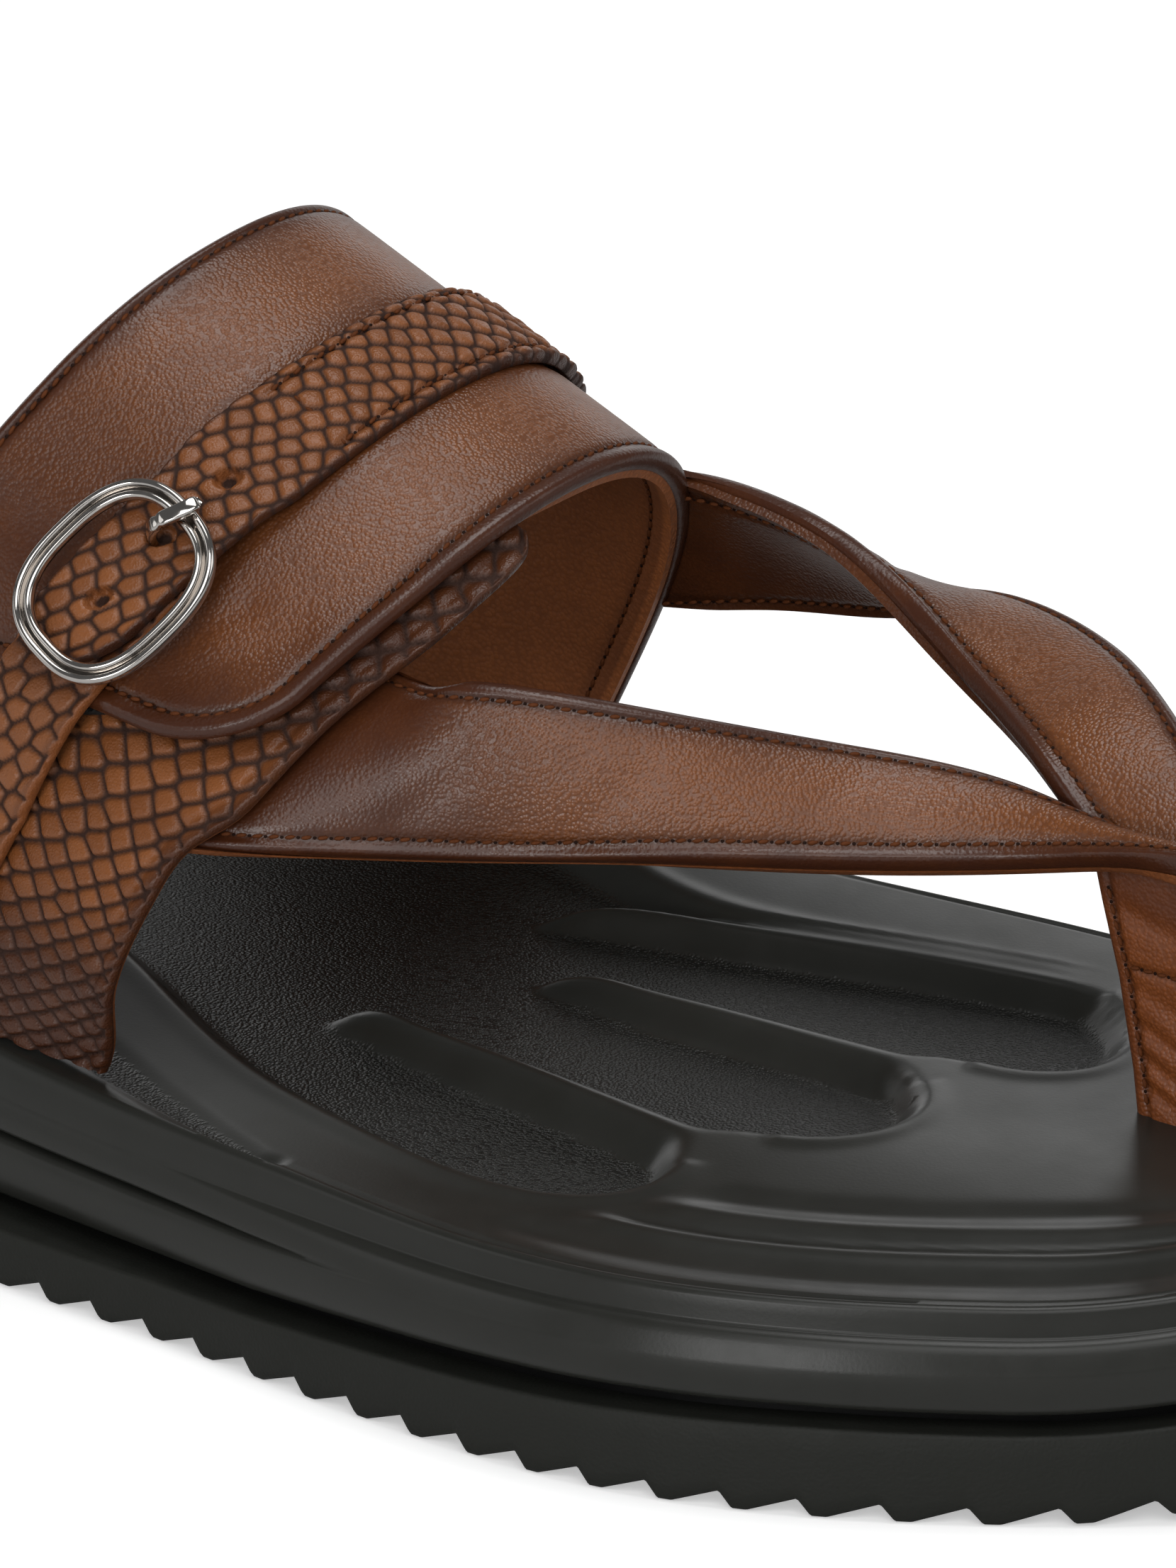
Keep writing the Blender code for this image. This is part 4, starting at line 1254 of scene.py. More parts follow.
def stitches(shape, line, normals, sink):
    """Adds dashes and needle holes along a line of points whose outward directions are given."""
    walk = walked(line)
    places = np.arange(STITCH_PITCH * STITCH_START, walk[-1] - STITCH_PITCH * STITCH_STOP, STITCH_PITCH)
    for first in range(0, len(places), STITCH_RUN):
        mesh = stitch_run(line, normals, walk, places[first:first + STITCH_RUN], sink)
        shape.from_mesh(mesh)
        bpy.data.meshes.remove(mesh)


# %% [markdown]
# Instep band
#
# The band is cut from smooth leather, goes over the instep and ends on the outer side in a flap with a round
# corner. Its front edge and the flap are turned over a cord; its back edge is folded; a tan lining lies
# under it. The band is a grid over the instep form, and its edge tables follow the distance to the border.

# %% Band sizes
BAND_LAYERS = [
    # v, inner face, outer face
    (-0.05, 0.0, 2.6),
    (0.10, 0.0, 2.9),
    (0.36, 1.5, 5.0),
    (0.52, 2.2, 5.0),
    (0.70, 2.5, 5.2),
    (0.78, 3.0, 5.5),
]
BAND_FROM, BAND_TO = -0.012, 0.776
BAND_FRONT = [
    # v, u of the front edge
    (-0.02, 0.93),
    (0.12, 0.955),
    (0.28, 0.99),
    (0.45, 0.99),
    (0.80, 1.00),
]
FLAP_CORNER_V, FLAP_CORNER_U = 0.052, 0.24
BAND_COLUMNS, BAND_ROWS, FLAP_SHARE = 130, 230, 0.75
BORDER_STEPS, CORNER_TURN, CREASE_STEPS = 400, 60, 60
LINING_WALL, BAND_THINNEST = 0.95, 1.15
BELT_BACK, BELT_FRONT = 0.365, 0.64
BELT_BED_BACK, BELT_BED_FRONT, BELT_SINK = (0.34, 0.38), (0.62, 0.66), 0.25
# Painted shade on the band, partly burnish: a shadow beside the belt's edges, a darker flap and corner with a
# painted sheen across the flap, and darker towards the inner base.
BELT_SHADE, BELT_SHADE_REACH = 0.55, 2.6
FLAP_SHADE, FLAP_SHADE_RUN = 0.85, (0.50, 0.74)
FLAP_PAINTED_SHEEN, FLAP_SHEEN_AT, FLAP_SHEEN_HALF = 0.55, 0.80, 0.12
CORNER_SHADE_DOWN, CORNER_SHADE_ACROSS = (0.66, 0.76), (0.60, 0.70)
INNER_SHADE, INNER_SHADE_RUN = 0.25, (0.0, 0.25)
BAND_CREASES = [
    # u, v of one end, u, v of the other end, half width, depth
    (0.72, 0.755, 0.88, 0.700, 2.6, 0.35),
    (0.66, 0.745, 0.74, 0.690, 1.8, 0.30),
    (0.80, 0.700, 0.97, 0.630, 3.0, 0.18),
    (0.05, 0.640, 0.30, 0.655, 4.0, 0.30),
    (0.12, 0.700, 0.33, 0.700, 3.0, 0.30),
]
band_front = smooth_table(BAND_FRONT)
print("front edge of the band at the top, as u:", round(band_front(0.5, 1)[0], 3))

# %% Band


def band_border(inset):
    """The front edge, the round corner and the flap's end, as u and v, moved in by millimetres."""
    per_u, per_v = mm_per(0.85, 0.75)
    end = BAND_TO - inset / per_v[0]
    corner_u = FLAP_CORNER_U - inset / per_u[0]
    corner_v = FLAP_CORNER_V - inset / per_v[0]
    turn = np.linspace(0.0, np.pi / 2, CORNER_TURN)
    straight = np.linspace(BAND_FROM, end - corner_v, BORDER_STEPS)
    v = np.concatenate([straight, end - corner_v * (1 - np.sin(turn))])
    u = band_front(v, 1) - inset / mm_per(0.98, v)[0]
    u[BORDER_STEPS:] -= corner_u * (1 - np.cos(turn))
    last = np.linspace(u[-1], 0.0, CORNER_TURN)[1:]
    return np.concatenate([u, last]), np.concatenate([v, np.full(len(last), end)])


def crease_relief(points, creases, place, steps=CREASE_STEPS):
    """Soft troughs, each along a short line between two places."""
    relief = np.zeros(len(points))
    share = np.linspace(0.0, 1.0, steps)
    for a0, b0, a1, b1, half, depth in creases:
        line = place(a0 + (a1 - a0) * share, b0 + (b1 - b0) * share)
        relief -= depth * bell(nearest(points, line), half)
    return relief


def band_spread(s, t):
    """u and v over the band, closer together at its edges and in the flap's corner."""
    turn = np.clip((t - FLAP_SHARE) / (1 - FLAP_SHARE), 0.0, 1.0) * np.pi / 2
    straight = BAND_FROM + (BAND_TO - FLAP_CORNER_V - BAND_FROM) * np.clip(t / FLAP_SHARE, 0.0, 1.0)
    v = straight + FLAP_CORNER_V * np.sin(turn)
    u = (band_front(v, 1) - FLAP_CORNER_U * (1 - np.cos(turn))) * crowd(s, 0.6)
    return u, v


BEAD_LINE = dense(form(*band_border(0.0)))
BACK_LINE = dense(form(0.0, np.linspace(BAND_FROM, BAND_TO, BORDER_STEPS)))


def band_point(s, t):
    u, v = band_spread(s, t)
    base = form(u, v)
    ahead, behind = nearest(base, BEAD_LINE), nearest(base, BACK_LINE)
    inner, outer = column(BAND_LAYERS, v, 1), column(BAND_LAYERS, v, 2)
    inner = inner + LINING_WALL + column(BEAD, ahead, 2) + column(FOLD, behind, 2)
    inner = np.minimum(inner, outer - BAND_THINNEST)
    under_belt = ease(u, *BELT_BED_BACK) * (1 - ease(u, *BELT_BED_FRONT))
    outer = outer + column(BEAD, ahead, 1) + column(FOLD, behind, 1) - BELT_SINK * under_belt
    outer = outer + crease_relief(base, BAND_CREASES, form)
    beside = np.minimum(np.abs(u - BELT_BACK), np.abs(u - BELT_FRONT)) * mm_per(0.5, 0.5)[0]
    flap_painted_sheen = 1 - FLAP_PAINTED_SHEEN * bell(u - FLAP_SHEEN_AT, FLAP_SHEEN_HALF)
    # The mark edge: burnish along the edges, the belt's painted shadow, painted shade and sheen on the flap.
    edge = strongest(
        column(BURN, ahead, 1),
        column(BURN, behind, 1),
        BELT_SHADE * bell(beside, BELT_SHADE_REACH),
        FLAP_SHADE * ease(v, *FLAP_SHADE_RUN) * flap_painted_sheen,
        FLAP_SHADE * ease(v, *CORNER_SHADE_DOWN) * ease(u, *CORNER_SHADE_ACROSS),
    )
    edge = edge + INNER_SHADE * (1 - ease(v, *INNER_SHADE_RUN))
    stitch = np.maximum(trough(ahead, BEAD_STITCH), trough(behind, FOLD_STITCH))
    return instep(u, v, outer), instep(u, v, inner), {"edge": edge, "stitch": stitch}


piece("instep_band", sheet(BAND_COLUMNS, BAND_ROWS, band_point), LEATHER, "upper_leather", "upper")

# %% Band lining
LINING_COLUMNS, LINING_ROWS = 44, 96
LINING_INSET, LINING_DRAWN_BACK, LINING_LAP = 0.35, 1.6, 0.25
LINING_DRAW_RUN, LINING_SHORT, LINING_SHORT_RUN = (0.50, 0.62), 0.010, (0.70, 0.76)
LINING_STITCH, LINING_DIP, LINING_DIP_HALF, LINING_SEAM_SHADE = 3.3, 0.22, 0.5, 0.6
LINING_SHADE, LINING_EDGE_SHADE, LINING_EDGE_REACH, LINING_EDGE_FROM = 0.15, 0.75, 6.0, 1.2


def lining_point(s, t):
    u, v = band_spread(s, t)
    ahead = nearest(form(u, v), BEAD_LINE)
    margin = (LINING_INSET + LINING_DRAWN_BACK * ease(v, *LINING_DRAW_RUN)) / mm_per(0.9, v)[0]
    u = margin + u * (1 - 2 * margin)
    v = v - LINING_SHORT * ease(v, *LINING_SHORT_RUN)
    inner = column(BAND_LAYERS, v, 1)
    dip = LINING_DIP * trough(ahead, LINING_STITCH, LINING_DIP_HALF)
    edge = LINING_EDGE_SHADE * np.exp(-ahead / LINING_EDGE_REACH) * (ahead > LINING_EDGE_FROM)
    seam = LINING_SEAM_SHADE * trough(ahead, LINING_STITCH)
    marks = {"edge": LINING_SHADE + edge, "stitch": seam}
    return instep(u, v, inner + LINING_WALL + LINING_LAP), instep(u, v, inner + dip), marks


piece("band_lining", sheet(LINING_COLUMNS, LINING_ROWS, lining_point), LINING, "upper_leather")

# %% Band stitches
BEAD_SEAM_DEEP, FOLD_SEAM_DEEP, SEAM_SINK = 0.36, 0.34, -0.06
LINING_SEAM_TO, LINING_SEAM_SINK = 0.5, 0.02
shape = bmesh.new()
back_v = np.linspace(0.02, BAND_TO, 300)
back_u = np.full(len(back_v), FOLD_STITCH / mm_per(0.05, 0.5)[0][0])
for (u, v), deep in ((band_border(BEAD_STITCH), BEAD_SEAM_DEEP), ((back_u, back_v), FOLD_SEAM_DEEP)):
    stitches(shape, instep(u, v, column(BAND_LAYERS, v, 2) - deep), form_normal(u, v), SEAM_SINK)
u, v = band_border(LINING_STITCH)
keep = v < LINING_SEAM_TO
under = instep(u, v, column(BAND_LAYERS, v, 1))
stitches(shape, under[keep], -form_normal(u, v)[keep], LINING_SEAM_SINK)
piece("band_stitching", shape, THREAD, "upper_leather")

# %% [markdown]
# Scales
#
# The press plate has rows of rounded scales, each a little different. A lattice of slightly moved centres
# gives the rows; the groove lies halfway between neighbouring centres. The height rises from the groove to
# a pillow, so the scales are in the mesh, and the marks groove and tone carry the same pattern to the paint.
# The groove mark darkens the grooves, partly as the leather's groove colour and partly as painted shade,
# and paints a shadow on the low side of each scale.

# %% Scale helper
SCALE_REACH = [(i, j) for i in range(-2, 3) for j in range(-2, 3)]
SCALE_TABLE = 64
SCALE_CORNER = 7.0
SCALE_SHOULDER, SCALE_PILLOW, SHOULDER_SHARE = (0.0, 0.46), (0.1, 1.2), 0.72
SCALE_LEAN, SCALE_GROOVE = (0.0, 0.35), (0.06, 0.34)
# Painted shadow on the side of each scale tucked under its neighbour.
TUCK_BORDER, TUCK_SIDE, TUCK_SHADOW = (0.15, 0.70), (0.2, 1.1), 0.60


def scales(spots, first, second, jitter, seed):
    """Distance to the nearest groove, a tone and the place within the scale, for a jittered lattice."""
    basis = np.array([first, second], float)
    cell = np.round(spots @ np.linalg.inv(basis)).astype(int)
    noise = np.random.default_rng(seed).uniform(-1.0, 1.0, (SCALE_TABLE, SCALE_TABLE, 3))
    centres, tones = [], []
    for shift in SCALE_REACH:
        index = cell + shift
        random = noise[index[:, 0] % SCALE_TABLE, index[:, 1] % SCALE_TABLE]
        centres.append((index + jitter * random[:, :2]) @ basis)
        tones.append(random[:, 2])
    centres, tones = np.array(centres), np.array(tones)
    own = np.linalg.norm(centres - spots, axis=2).argmin(axis=0)
    everyone = np.arange(len(spots))
    home = centres[own, everyone]
    crowding = np.zeros(len(spots))
    for other in centres:
        apart = other - home
        gap = np.linalg.norm(apart, axis=1)
        real = gap > 1e-6
        gap = np.where(real, gap, 1.0)
        distance = (((other + home) / 2 - spots) * apart).sum(axis=1) / gap
        crowding += np.where(real, np.exp(-distance * SCALE_CORNER), 0.0)
    border = np.clip(-np.log(crowding) / SCALE_CORNER, 0.0, None)
    return border, tones[own, everyone], spots - home


def pressed(spots, first, second, jitter, seed, height, tilt):
    """Relief and marks of pressed scales; tilt lifts one side of each scale over its neighbour, and the
    groove mark paints a shadow on the side tucked under it.
    """
    border, tone, within = scales(spots, first, second, jitter, seed)
    rise = ease(border, *SCALE_SHOULDER) * SHOULDER_SHARE + ease(border, *SCALE_PILLOW) * (1 - SHOULDER_SHARE)
    lifted = (within * tilt).sum(axis=1)
    lean = lifted * ease(border, *SCALE_LEAN)
    shadowed_side = ease(-lifted / np.linalg.norm(tilt), *TUCK_SIDE) * (1 - ease(border, *TUCK_BORDER))
    # Painted shade in the grooves and a painted shadow on the tucked side, with the leather's groove colour.
    groove = np.maximum(1.0 - ease(border, *SCALE_GROOVE), TUCK_SHADOW * shadowed_side)
    return height * (rise - 1.0 + lean), groove, 0.5 + 0.5 * tone


# %% [markdown]
# Quarter
#
# The outer quarter rises from the sole and ends in a tongue under the flap. It is scale leather with a turned
# front edge, lined in tan. Its rows of scales bend and open out with the pulled leather, so the lattice isn't
# even: a short polynomial counts the scales along a row, and the rows, from a middle place on the form.

# %% Quarter sizes
QUARTER_WALL, QUARTER_LINING = 2.4, 0.8
QUARTER_FROM, QUARTER_TO = 0.545, 1.006
QUARTER_EDGES = [
    # v, back edge u, front edge u
    (0.54, 0.55, 0.975),
    (0.555, 0.50, 1.03),
    (0.57, 0.44, 1.051),
    (0.61, 0.33, 1.065),
    (0.646, 0.22, 1.070),
    (0.721, 0.10, 1.056),
    (0.78, 0.05, 1.058),
    (0.799, 0.04, 1.050),
    (0.825, 0.02, 1.006),
    (0.859, 0.00, 1.000),
    (0.916, -0.02, 1.012),
    (0.967, -0.04, 1.034),
    (1.05, -0.05, 1.045),
]
QUARTER_COLUMNS, QUARTER_ROWS = 150, 312
QUARTER_ROW, QUARTER_STACK = (2.66, 0.0), (-0.55, 3.10)
QUARTER_PRESS = {"jitter": 0.10, "seed": 5, "height": 0.56, "tilt": (0.05, 0.34)}
QUARTER_MIDDLE = (0.80, 0.87)
CALM_RUN, CALM_RELIEF, CALM_GROOVE = (0.1, 0.6), 0.35, 0.4
TURN_TROUGH, TURN_TROUGH_AT, TURN_TROUGH_HALF = 0.30, 2.3, 0.6
TURN_SHADE, TURN_SHADE_HALF, BACK_SHADE = 0.85, 2.0, 0.80
# The base near the sole is darker, partly burnish and partly painted shade; the tongue under the flap is
# darkened as painted shade.
BASE_SHADE, BASE_SHADE_RUN, TONGUE_SHADE_RUN = 0.90, (0.86, 0.95), (0.72, 0.79)
SLOT_DOWN, SLOT_ACROSS, SLOT_BACK, SLOT_FRONT = (0.93, 1.0), (0.75, 1.05), 0.5, 2.2
QUARTER_LATTICE = [
    # power of u, power of v, number of scales along the row, number of rows
    (0, 0, 1.64, 2.94),
    (1, 0, 14.10, 8.97),
    (0, 1, -50.79, 44.06),
    (2, 0, -1.26, 8.75),
    (1, 1, 2.97, 12.07),
    (0, 2, -19.26, 38.83),
]
QUARTER_EDGE = [
    # distance from the edge, outer face, inner face
    (0.00, -0.80, 0.55),
    (0.05, -0.45, 0.30),
    (0.20, -0.14, 0.06),
    (0.45, 0.00, 0.00),
    (3.00, 0.00, 0.00),
]
quarter_edges = smooth_table(QUARTER_EDGES)


QUARTER_DOWN = [
    # share of the rows, share of the way from the tongue to the base
    (0.0, 0.0),
    (0.02, 0.006),
    (0.28, 0.40),
    (1.0, 1.0),
]
QUARTER_ACROSS = [
    # share of the columns, share of the way from the back edge to the front edge
    (0.0, 0.0),
    (0.2, 0.55),
    (0.9, 0.975),
    (1.0, 1.0),
]
print("rows of the lattice table:", len(QUARTER_LATTICE))

# %% Quarter


def quarter_spread(s, t):
    """u and v over the quarter, closer together at its front edge and in its lower part."""
    v = QUARTER_FROM + (QUARTER_TO - QUARTER_FROM) * column(QUARTER_DOWN, t, 1)
    back, front = quarter_edges(v, 1), quarter_edges(v, 2)
    return back + (front - back) * column(QUARTER_ACROSS, s, 1), v


quarter_v = np.linspace(QUARTER_FROM, QUARTER_TO, 500)
QUARTER_BACK_LINE = dense(form(quarter_edges(quarter_v, 1), quarter_v))
QUARTER_FRONT_LINE = dense(form(quarter_edges(quarter_v, 2), quarter_v))
tongue_u = np.linspace(quarter_edges(QUARTER_FROM, 1)[0], quarter_edges(QUARTER_FROM, 2)[0], 60)
QUARTER_TOP_LINE = dense(form(tongue_u, QUARTER_FROM))


def quarter_tuck(u, v):
    """How far the base leans in to its slot behind the footbed's rim."""
    return ease(v, *SLOT_DOWN) * (SLOT_BACK + SLOT_FRONT * ease(u, *SLOT_ACROSS))


def quarter_point(s, t):
    u, v = quarter_spread(s, t)
    base = form(u, v)
    ahead = np.minimum(nearest(base, QUARTER_FRONT_LINE), nearest(base, QUARTER_TOP_LINE))
    behind = nearest(base, QUARTER_BACK_LINE)
    near = np.minimum(ahead, behind)
    across, down = u - QUARTER_MIDDLE[0], v - QUARTER_MIDDLE[1]
    counts = [across**a * down**b * np.array([[along], [below]]) for a, b, along, below in QUARTER_LATTICE]
    spots = np.sum(counts, axis=0).T @ np.array([QUARTER_ROW, QUARTER_STACK])
    relief, groove, tone = pressed(spots, QUARTER_ROW, QUARTER_STACK, **QUARTER_PRESS)
    calm = ease(near, *CALM_RUN)
    relief = relief - TURN_TROUGH * trough(ahead, TURN_TROUGH_AT, TURN_TROUGH_HALF)
    relief = relief * (CALM_RELIEF + (1 - CALM_RELIEF) * calm)
    tuck = quarter_tuck(u, v)
    outer = QUARTER_WALL + relief + column(QUARTER_EDGE, near, 1) - tuck
    inner = QUARTER_LINING + column(QUARTER_EDGE, near, 2) - tuck
    # The mark edge: burnish at the front and back edges, painted shade at the base and on the tongue.
    edge = strongest(
        TURN_SHADE * bell(ahead, TURN_SHADE_HALF),
        BACK_SHADE * column(BURN, behind, 1),
        BASE_SHADE * ease(v, *BASE_SHADE_RUN),
        BASE_SHADE * (1 - ease(v, *TONGUE_SHADE_RUN)),
    )
    groove = groove * (CALM_GROOVE + (1 - CALM_GROOVE) * calm)
    marks = {"groove": groove, "tone": tone, "edge": edge}
    return instep(u, v, outer), instep(u, v, inner), marks


shape = sheet(QUARTER_COLUMNS, QUARTER_ROWS, quarter_point)
piece("outer_quarter", shape, SCALED, "upper_leather")

# %% Quarter lining
QUARTER_LINING_COLUMNS, QUARTER_LINING_ROWS = 40, 60
QUARTER_LINING_ACROSS, QUARTER_LINING_DOWN = (0.006, 0.940), (0.012, 1.0)
QUARTER_LINING_SHADE, QUARTER_LINING_EDGE, QUARTER_LINING_REACH = 0.2, 0.7, 5.0


def quarter_lining_point(s, t):
    across = np.interp(s, (0.0, 1.0), QUARTER_LINING_ACROSS)
    down = np.interp(t, (0.0, 1.0), QUARTER_LINING_DOWN)
    u, v = quarter_spread(across, down)
    near = nearest(form(u, v), QUARTER_FRONT_LINE)
    marks = {"edge": QUARTER_LINING_SHADE + QUARTER_LINING_EDGE * np.exp(-near / QUARTER_LINING_REACH)}
    tuck = quarter_tuck(u, v)
    return instep(u, v, QUARTER_LINING + LINING_LAP - tuck), instep(u, v, -tuck), marks


shape = sheet(QUARTER_LINING_COLUMNS, QUARTER_LINING_ROWS, quarter_lining_point)
piece("quarter_lining", shape, LINING, "upper_leather")

# %% [markdown]
# Toe straps
#
# Two straps cross over the toes and meet at the post. Each is drawn by its two edges, which twist as the
# strap turns from the side of the foot to its top. The straps are crowned, because leather over a foot is
# never flat, with a corded edge on one side, a folded edge on the other and a lining below.

# %% Strap sizes
STRAP_WALL, STRAP_LINING, STRAP_CROWN = 3.0, 1.0, 1.4
STRAP_ROOT = [
    # u, v, offset of the edge, u, v, offset of the other edge, under the quarter
    (0.90, 0.832, -0.7, 0.93, 0.675, -0.7),
    (1.03, 0.820, -0.5, 1.07, 0.672, -0.5),
]
LATERAL_STRAP = [
    # edge x, y, z, other edge x, y, z
    (166.2, -28.8, 50.5, 166.4, -23.8, 69.4),
    (189.4, -16.5, 52.1, 185.0, -11.0, 66.8),
    (207.2, -2.0, 51.7, 198.5, 3.5, 62.2),
    (223.9, 7.0, 53.3, 215.2, 11.3, 59.1),
    (238.9, 8.3, 56.0, 233.9, 12.0, 56.1),
    (247.4, 10.2, 53.6, 246.2, 13.4, 53.9),
    (249.2, 11.6, 49.0, 249.0, 14.2, 49.2),
]
MEDIAL_STRAP = [
    # edge x, y, z, other edge x, y, z
    (150.0, 26.0, 76.0, 137.0, 35.4, 55.5),
    (157.6, 27.6, 77.0, 147.4, 36.6, 57.8),
    (169.7, 28.0, 76.0, 161.5, 38.8, 60.7),
    (181.2, 27.0, 72.7, 176.8, 38.5, 63.5),
    (195.8, 23.0, 66.0, 192.5, 39.0, 67.0),
    (206.0, 19.0, 62.3, 206.5, 36.0, 67.0),
    (219.1, 12.7, 57.9, 224.5, 26.0, 64.8),
    (230.7, 11.5, 51.2, 238.3, 18.5, 56.8),
    (241.8, 12.3, 48.6, 244.6, 14.6, 50.4),
]
CORDED = [
    # distance from the edge, outer face, inner face
    (0.00, -1.10, 0.90),
    (0.06, -0.72, 0.55),
    (0.25, -0.28, 0.20),
    (0.55, 0.10, 0.00),
    (0.90, 0.24, 0.00),
    (1.25, 0.14, 0.00),
    (1.55, -0.04, 0.00),
    (1.80, -0.16, 0.00),
    (2.05, -0.18, 0.00),
    (2.40, -0.36, 0.00),
    (2.75, -0.14, 0.00),
    (3.60, 0.00, 0.00),
    (6.00, 0.00, 0.00),
]
CORDED_STITCH = 2.4
STRAP_COLUMNS, STRAP_ROWS = 56, 188
STRAP_LINING_COLUMNS, STRAP_LINING_ROWS, STRAP_MARGIN = 28, 90, 0.02
STRAP_CROWD, STRAP_LINING_CROWD = 0.62, 0.5
# The backing is darkened as painted shade under the strap, partly its own darker leather, and less where its
# lip turns up.
BACKING_SHADE, BACKING_SEAM_HALF, BACKING_SEAM_PULL = 0.8, 0.6, 0.3
LIP_TURN, LIP_RAISED, LIP_PALER = (-0.4, 0.5), 0.7, 0.3
SEAM_CLEAR, STRAP_CREASE_STEPS = 0.05, 50
STRAP_PARED, STRAP_PARED_TO = 0.55, (0.03, 0.16)
STRAP_SETTLES = (0.66, 0.82)
CORDED_SEAM_DEEP, STRAP_SEAM_RUN = 0.32, (0.02, 0.97)
STRAP_BURN = [
    # distance from the edge, darkness
    (0.0, 1.0),
    (1.6, 0.90),
    (2.5, 0.50),
    (3.8, 0.18),
    (6.0, 0.0),
]
print("strap wall in mm:", STRAP_WALL)

# %% Strap helpers


def strap_surface(table):
    """A function of s across and t along that gives a strap's point, its outward direction and its width."""
    table = np.asarray(table, float)
    knots = walked((table[:, :3] + table[:, 3:]) / 2)
    edges = spline(knots, table)

    def at(s, t):
        row = edges(t * knots[-1])
        ahead = edges(t * knots[-1] + 0.5) - edges(t * knots[-1] - 0.5)
        across = row[:, 3:] - row[:, :3]
        along = ahead[:, :3] * (1 - s[:, None]) + ahead[:, 3:] * s[:, None]
        normal = unit(np.cross(along, across))
        crown = STRAP_CROWN * 4 * s * (1 - s)
        point = row[:, :3] + across * s[:, None] + normal * crown[:, None]
        return point, normal, np.linalg.norm(across, axis=1)

    return at


def thin(t):
    """A strap is pared thinner where it is sewn in under the band."""
    return STRAP_PARED + (1 - STRAP_PARED) * ease(t, *STRAP_PARED_TO)


def strap_shade(t, plain, root, root_from, root_to, tip, tip_from, tip_to):
    """Painted shade along a strap, partly burnish: plain all over, more at its root and at its tip."""
    return plain + root * (1 - ease(t, root_from, root_to)) + tip * ease(t, tip_from, tip_to)


def strap_pieces(name, table, creases, shade, raised, drop, backing, lip):
    """Leather, backing and thread of one strap, raised off its drawn edges by an amount that drops."""
    drawn = strap_surface(table)

    def surface(s, t):
        point, normal, width = drawn(s, t)
        lift = raised - drop * ease(t, *STRAP_SETTLES)
        return point + normal * lift[:, None], normal, width

    def leather(s, t):
        s = crowd(s, STRAP_CROWD)
        point, normal, width = surface(s, t)
        first, second = s * width, (1 - s) * width
        rise = column(CORDED, first, 1) + column(FOLD, second, 1)
        rise = rise + crease_relief(point, creases, lambda a, b: surface(a, b)[0], STRAP_CREASE_STEPS)
        under = STRAP_LINING - STRAP_WALL * thin(t) + column(CORDED, first, 2) + column(FOLD, second, 2)
        burn = column(STRAP_BURN, first, 1), column(STRAP_BURN, second, 1)
        stitch = np.maximum(trough(first, CORDED_STITCH), trough(second, FOLD_STITCH))
        # The mark edge: burnish along both edges and painted shade along the strap.
        marks = {"edge": strongest(*burn, strap_shade(t, *shade)), "stitch": stitch}
        return point + normal * rise[:, None], point + normal * under[:, None], marks

    def lining(s, t):
        s = STRAP_MARGIN - lip + (1 - 2 * STRAP_MARGIN + lip) * crowd(s, STRAP_LINING_CROWD)
        point, normal, width = surface(s, t)
        first, second = s * width, (1 - s) * width
        seam = trough(first, CORDED_STITCH, BACKING_SEAM_HALF)
        seam = np.maximum(seam, trough(second, FOLD_STITCH, BACKING_SEAM_HALF))
        turned_up = 1 - ease(first, *LIP_TURN)
        # Painted shade on the backing, paler where its lip turns up.
        marks = {"edge": BACKING_SHADE - LIP_PALER * turned_up, "stitch": seam}
        top = STRAP_LINING + LINING_LAP - STRAP_WALL * thin(t) + LIP_RAISED * turned_up
        under = BACKING_SEAM_PULL * seam - STRAP_WALL * thin(t) + turned_up
        return point + normal * top[:, None], point + normal * under[:, None], marks

    piece(name, sheet(STRAP_COLUMNS, STRAP_ROWS, leather), LEATHER, "upper_leather")
    shape = sheet(STRAP_LINING_COLUMNS, STRAP_LINING_ROWS, lining)
    piece(name + "_lining", shape, backing, "upper_leather")
    shape = bmesh.new()
    t = np.linspace(*STRAP_SEAM_RUN, 400)
    width = surface(np.zeros(len(t)), t)[2]
    seams = (CORDED_STITCH / width, CORDED_SEAM_DEEP), (1 - FOLD_STITCH / width, FOLD_SEAM_DEEP)
    for share, deep in seams:
        keep = (share > SEAM_CLEAR) & (share < 1 - SEAM_CLEAR)
        point, normal, _ = surface(share[keep], t[keep])
        stitches(shape, point - normal * deep, normal, SEAM_SINK)
        stitches(shape, point - normal * (STRAP_WALL - LINING_LAP), -normal, SEAM_SINK)
    piece(name + "_stitching", shape, THREAD, "upper_leather")


# %% Straps
LATERAL_CREASES = [
    # s, t of one end, s, t of the other end, half width, depth
    (0.25, 0.16, 0.80, 0.24, 2.2, 0.25),
    (0.20, 0.30, 0.55, 0.36, 2.0, 0.20),
    (0.45, 0.52, 0.70, 0.57, 2.0, 0.15),
]
MEDIAL_CREASES = [
    # s, t of one end, s, t of the other end, half width, depth
    (0.20, 0.20, 0.75, 0.16, 1.6, 0.35),
    (0.25, 0.28, 0.80, 0.25, 1.4, 0.30),
    (0.30, 0.36, 0.80, 0.34, 1.2, 0.25),
]
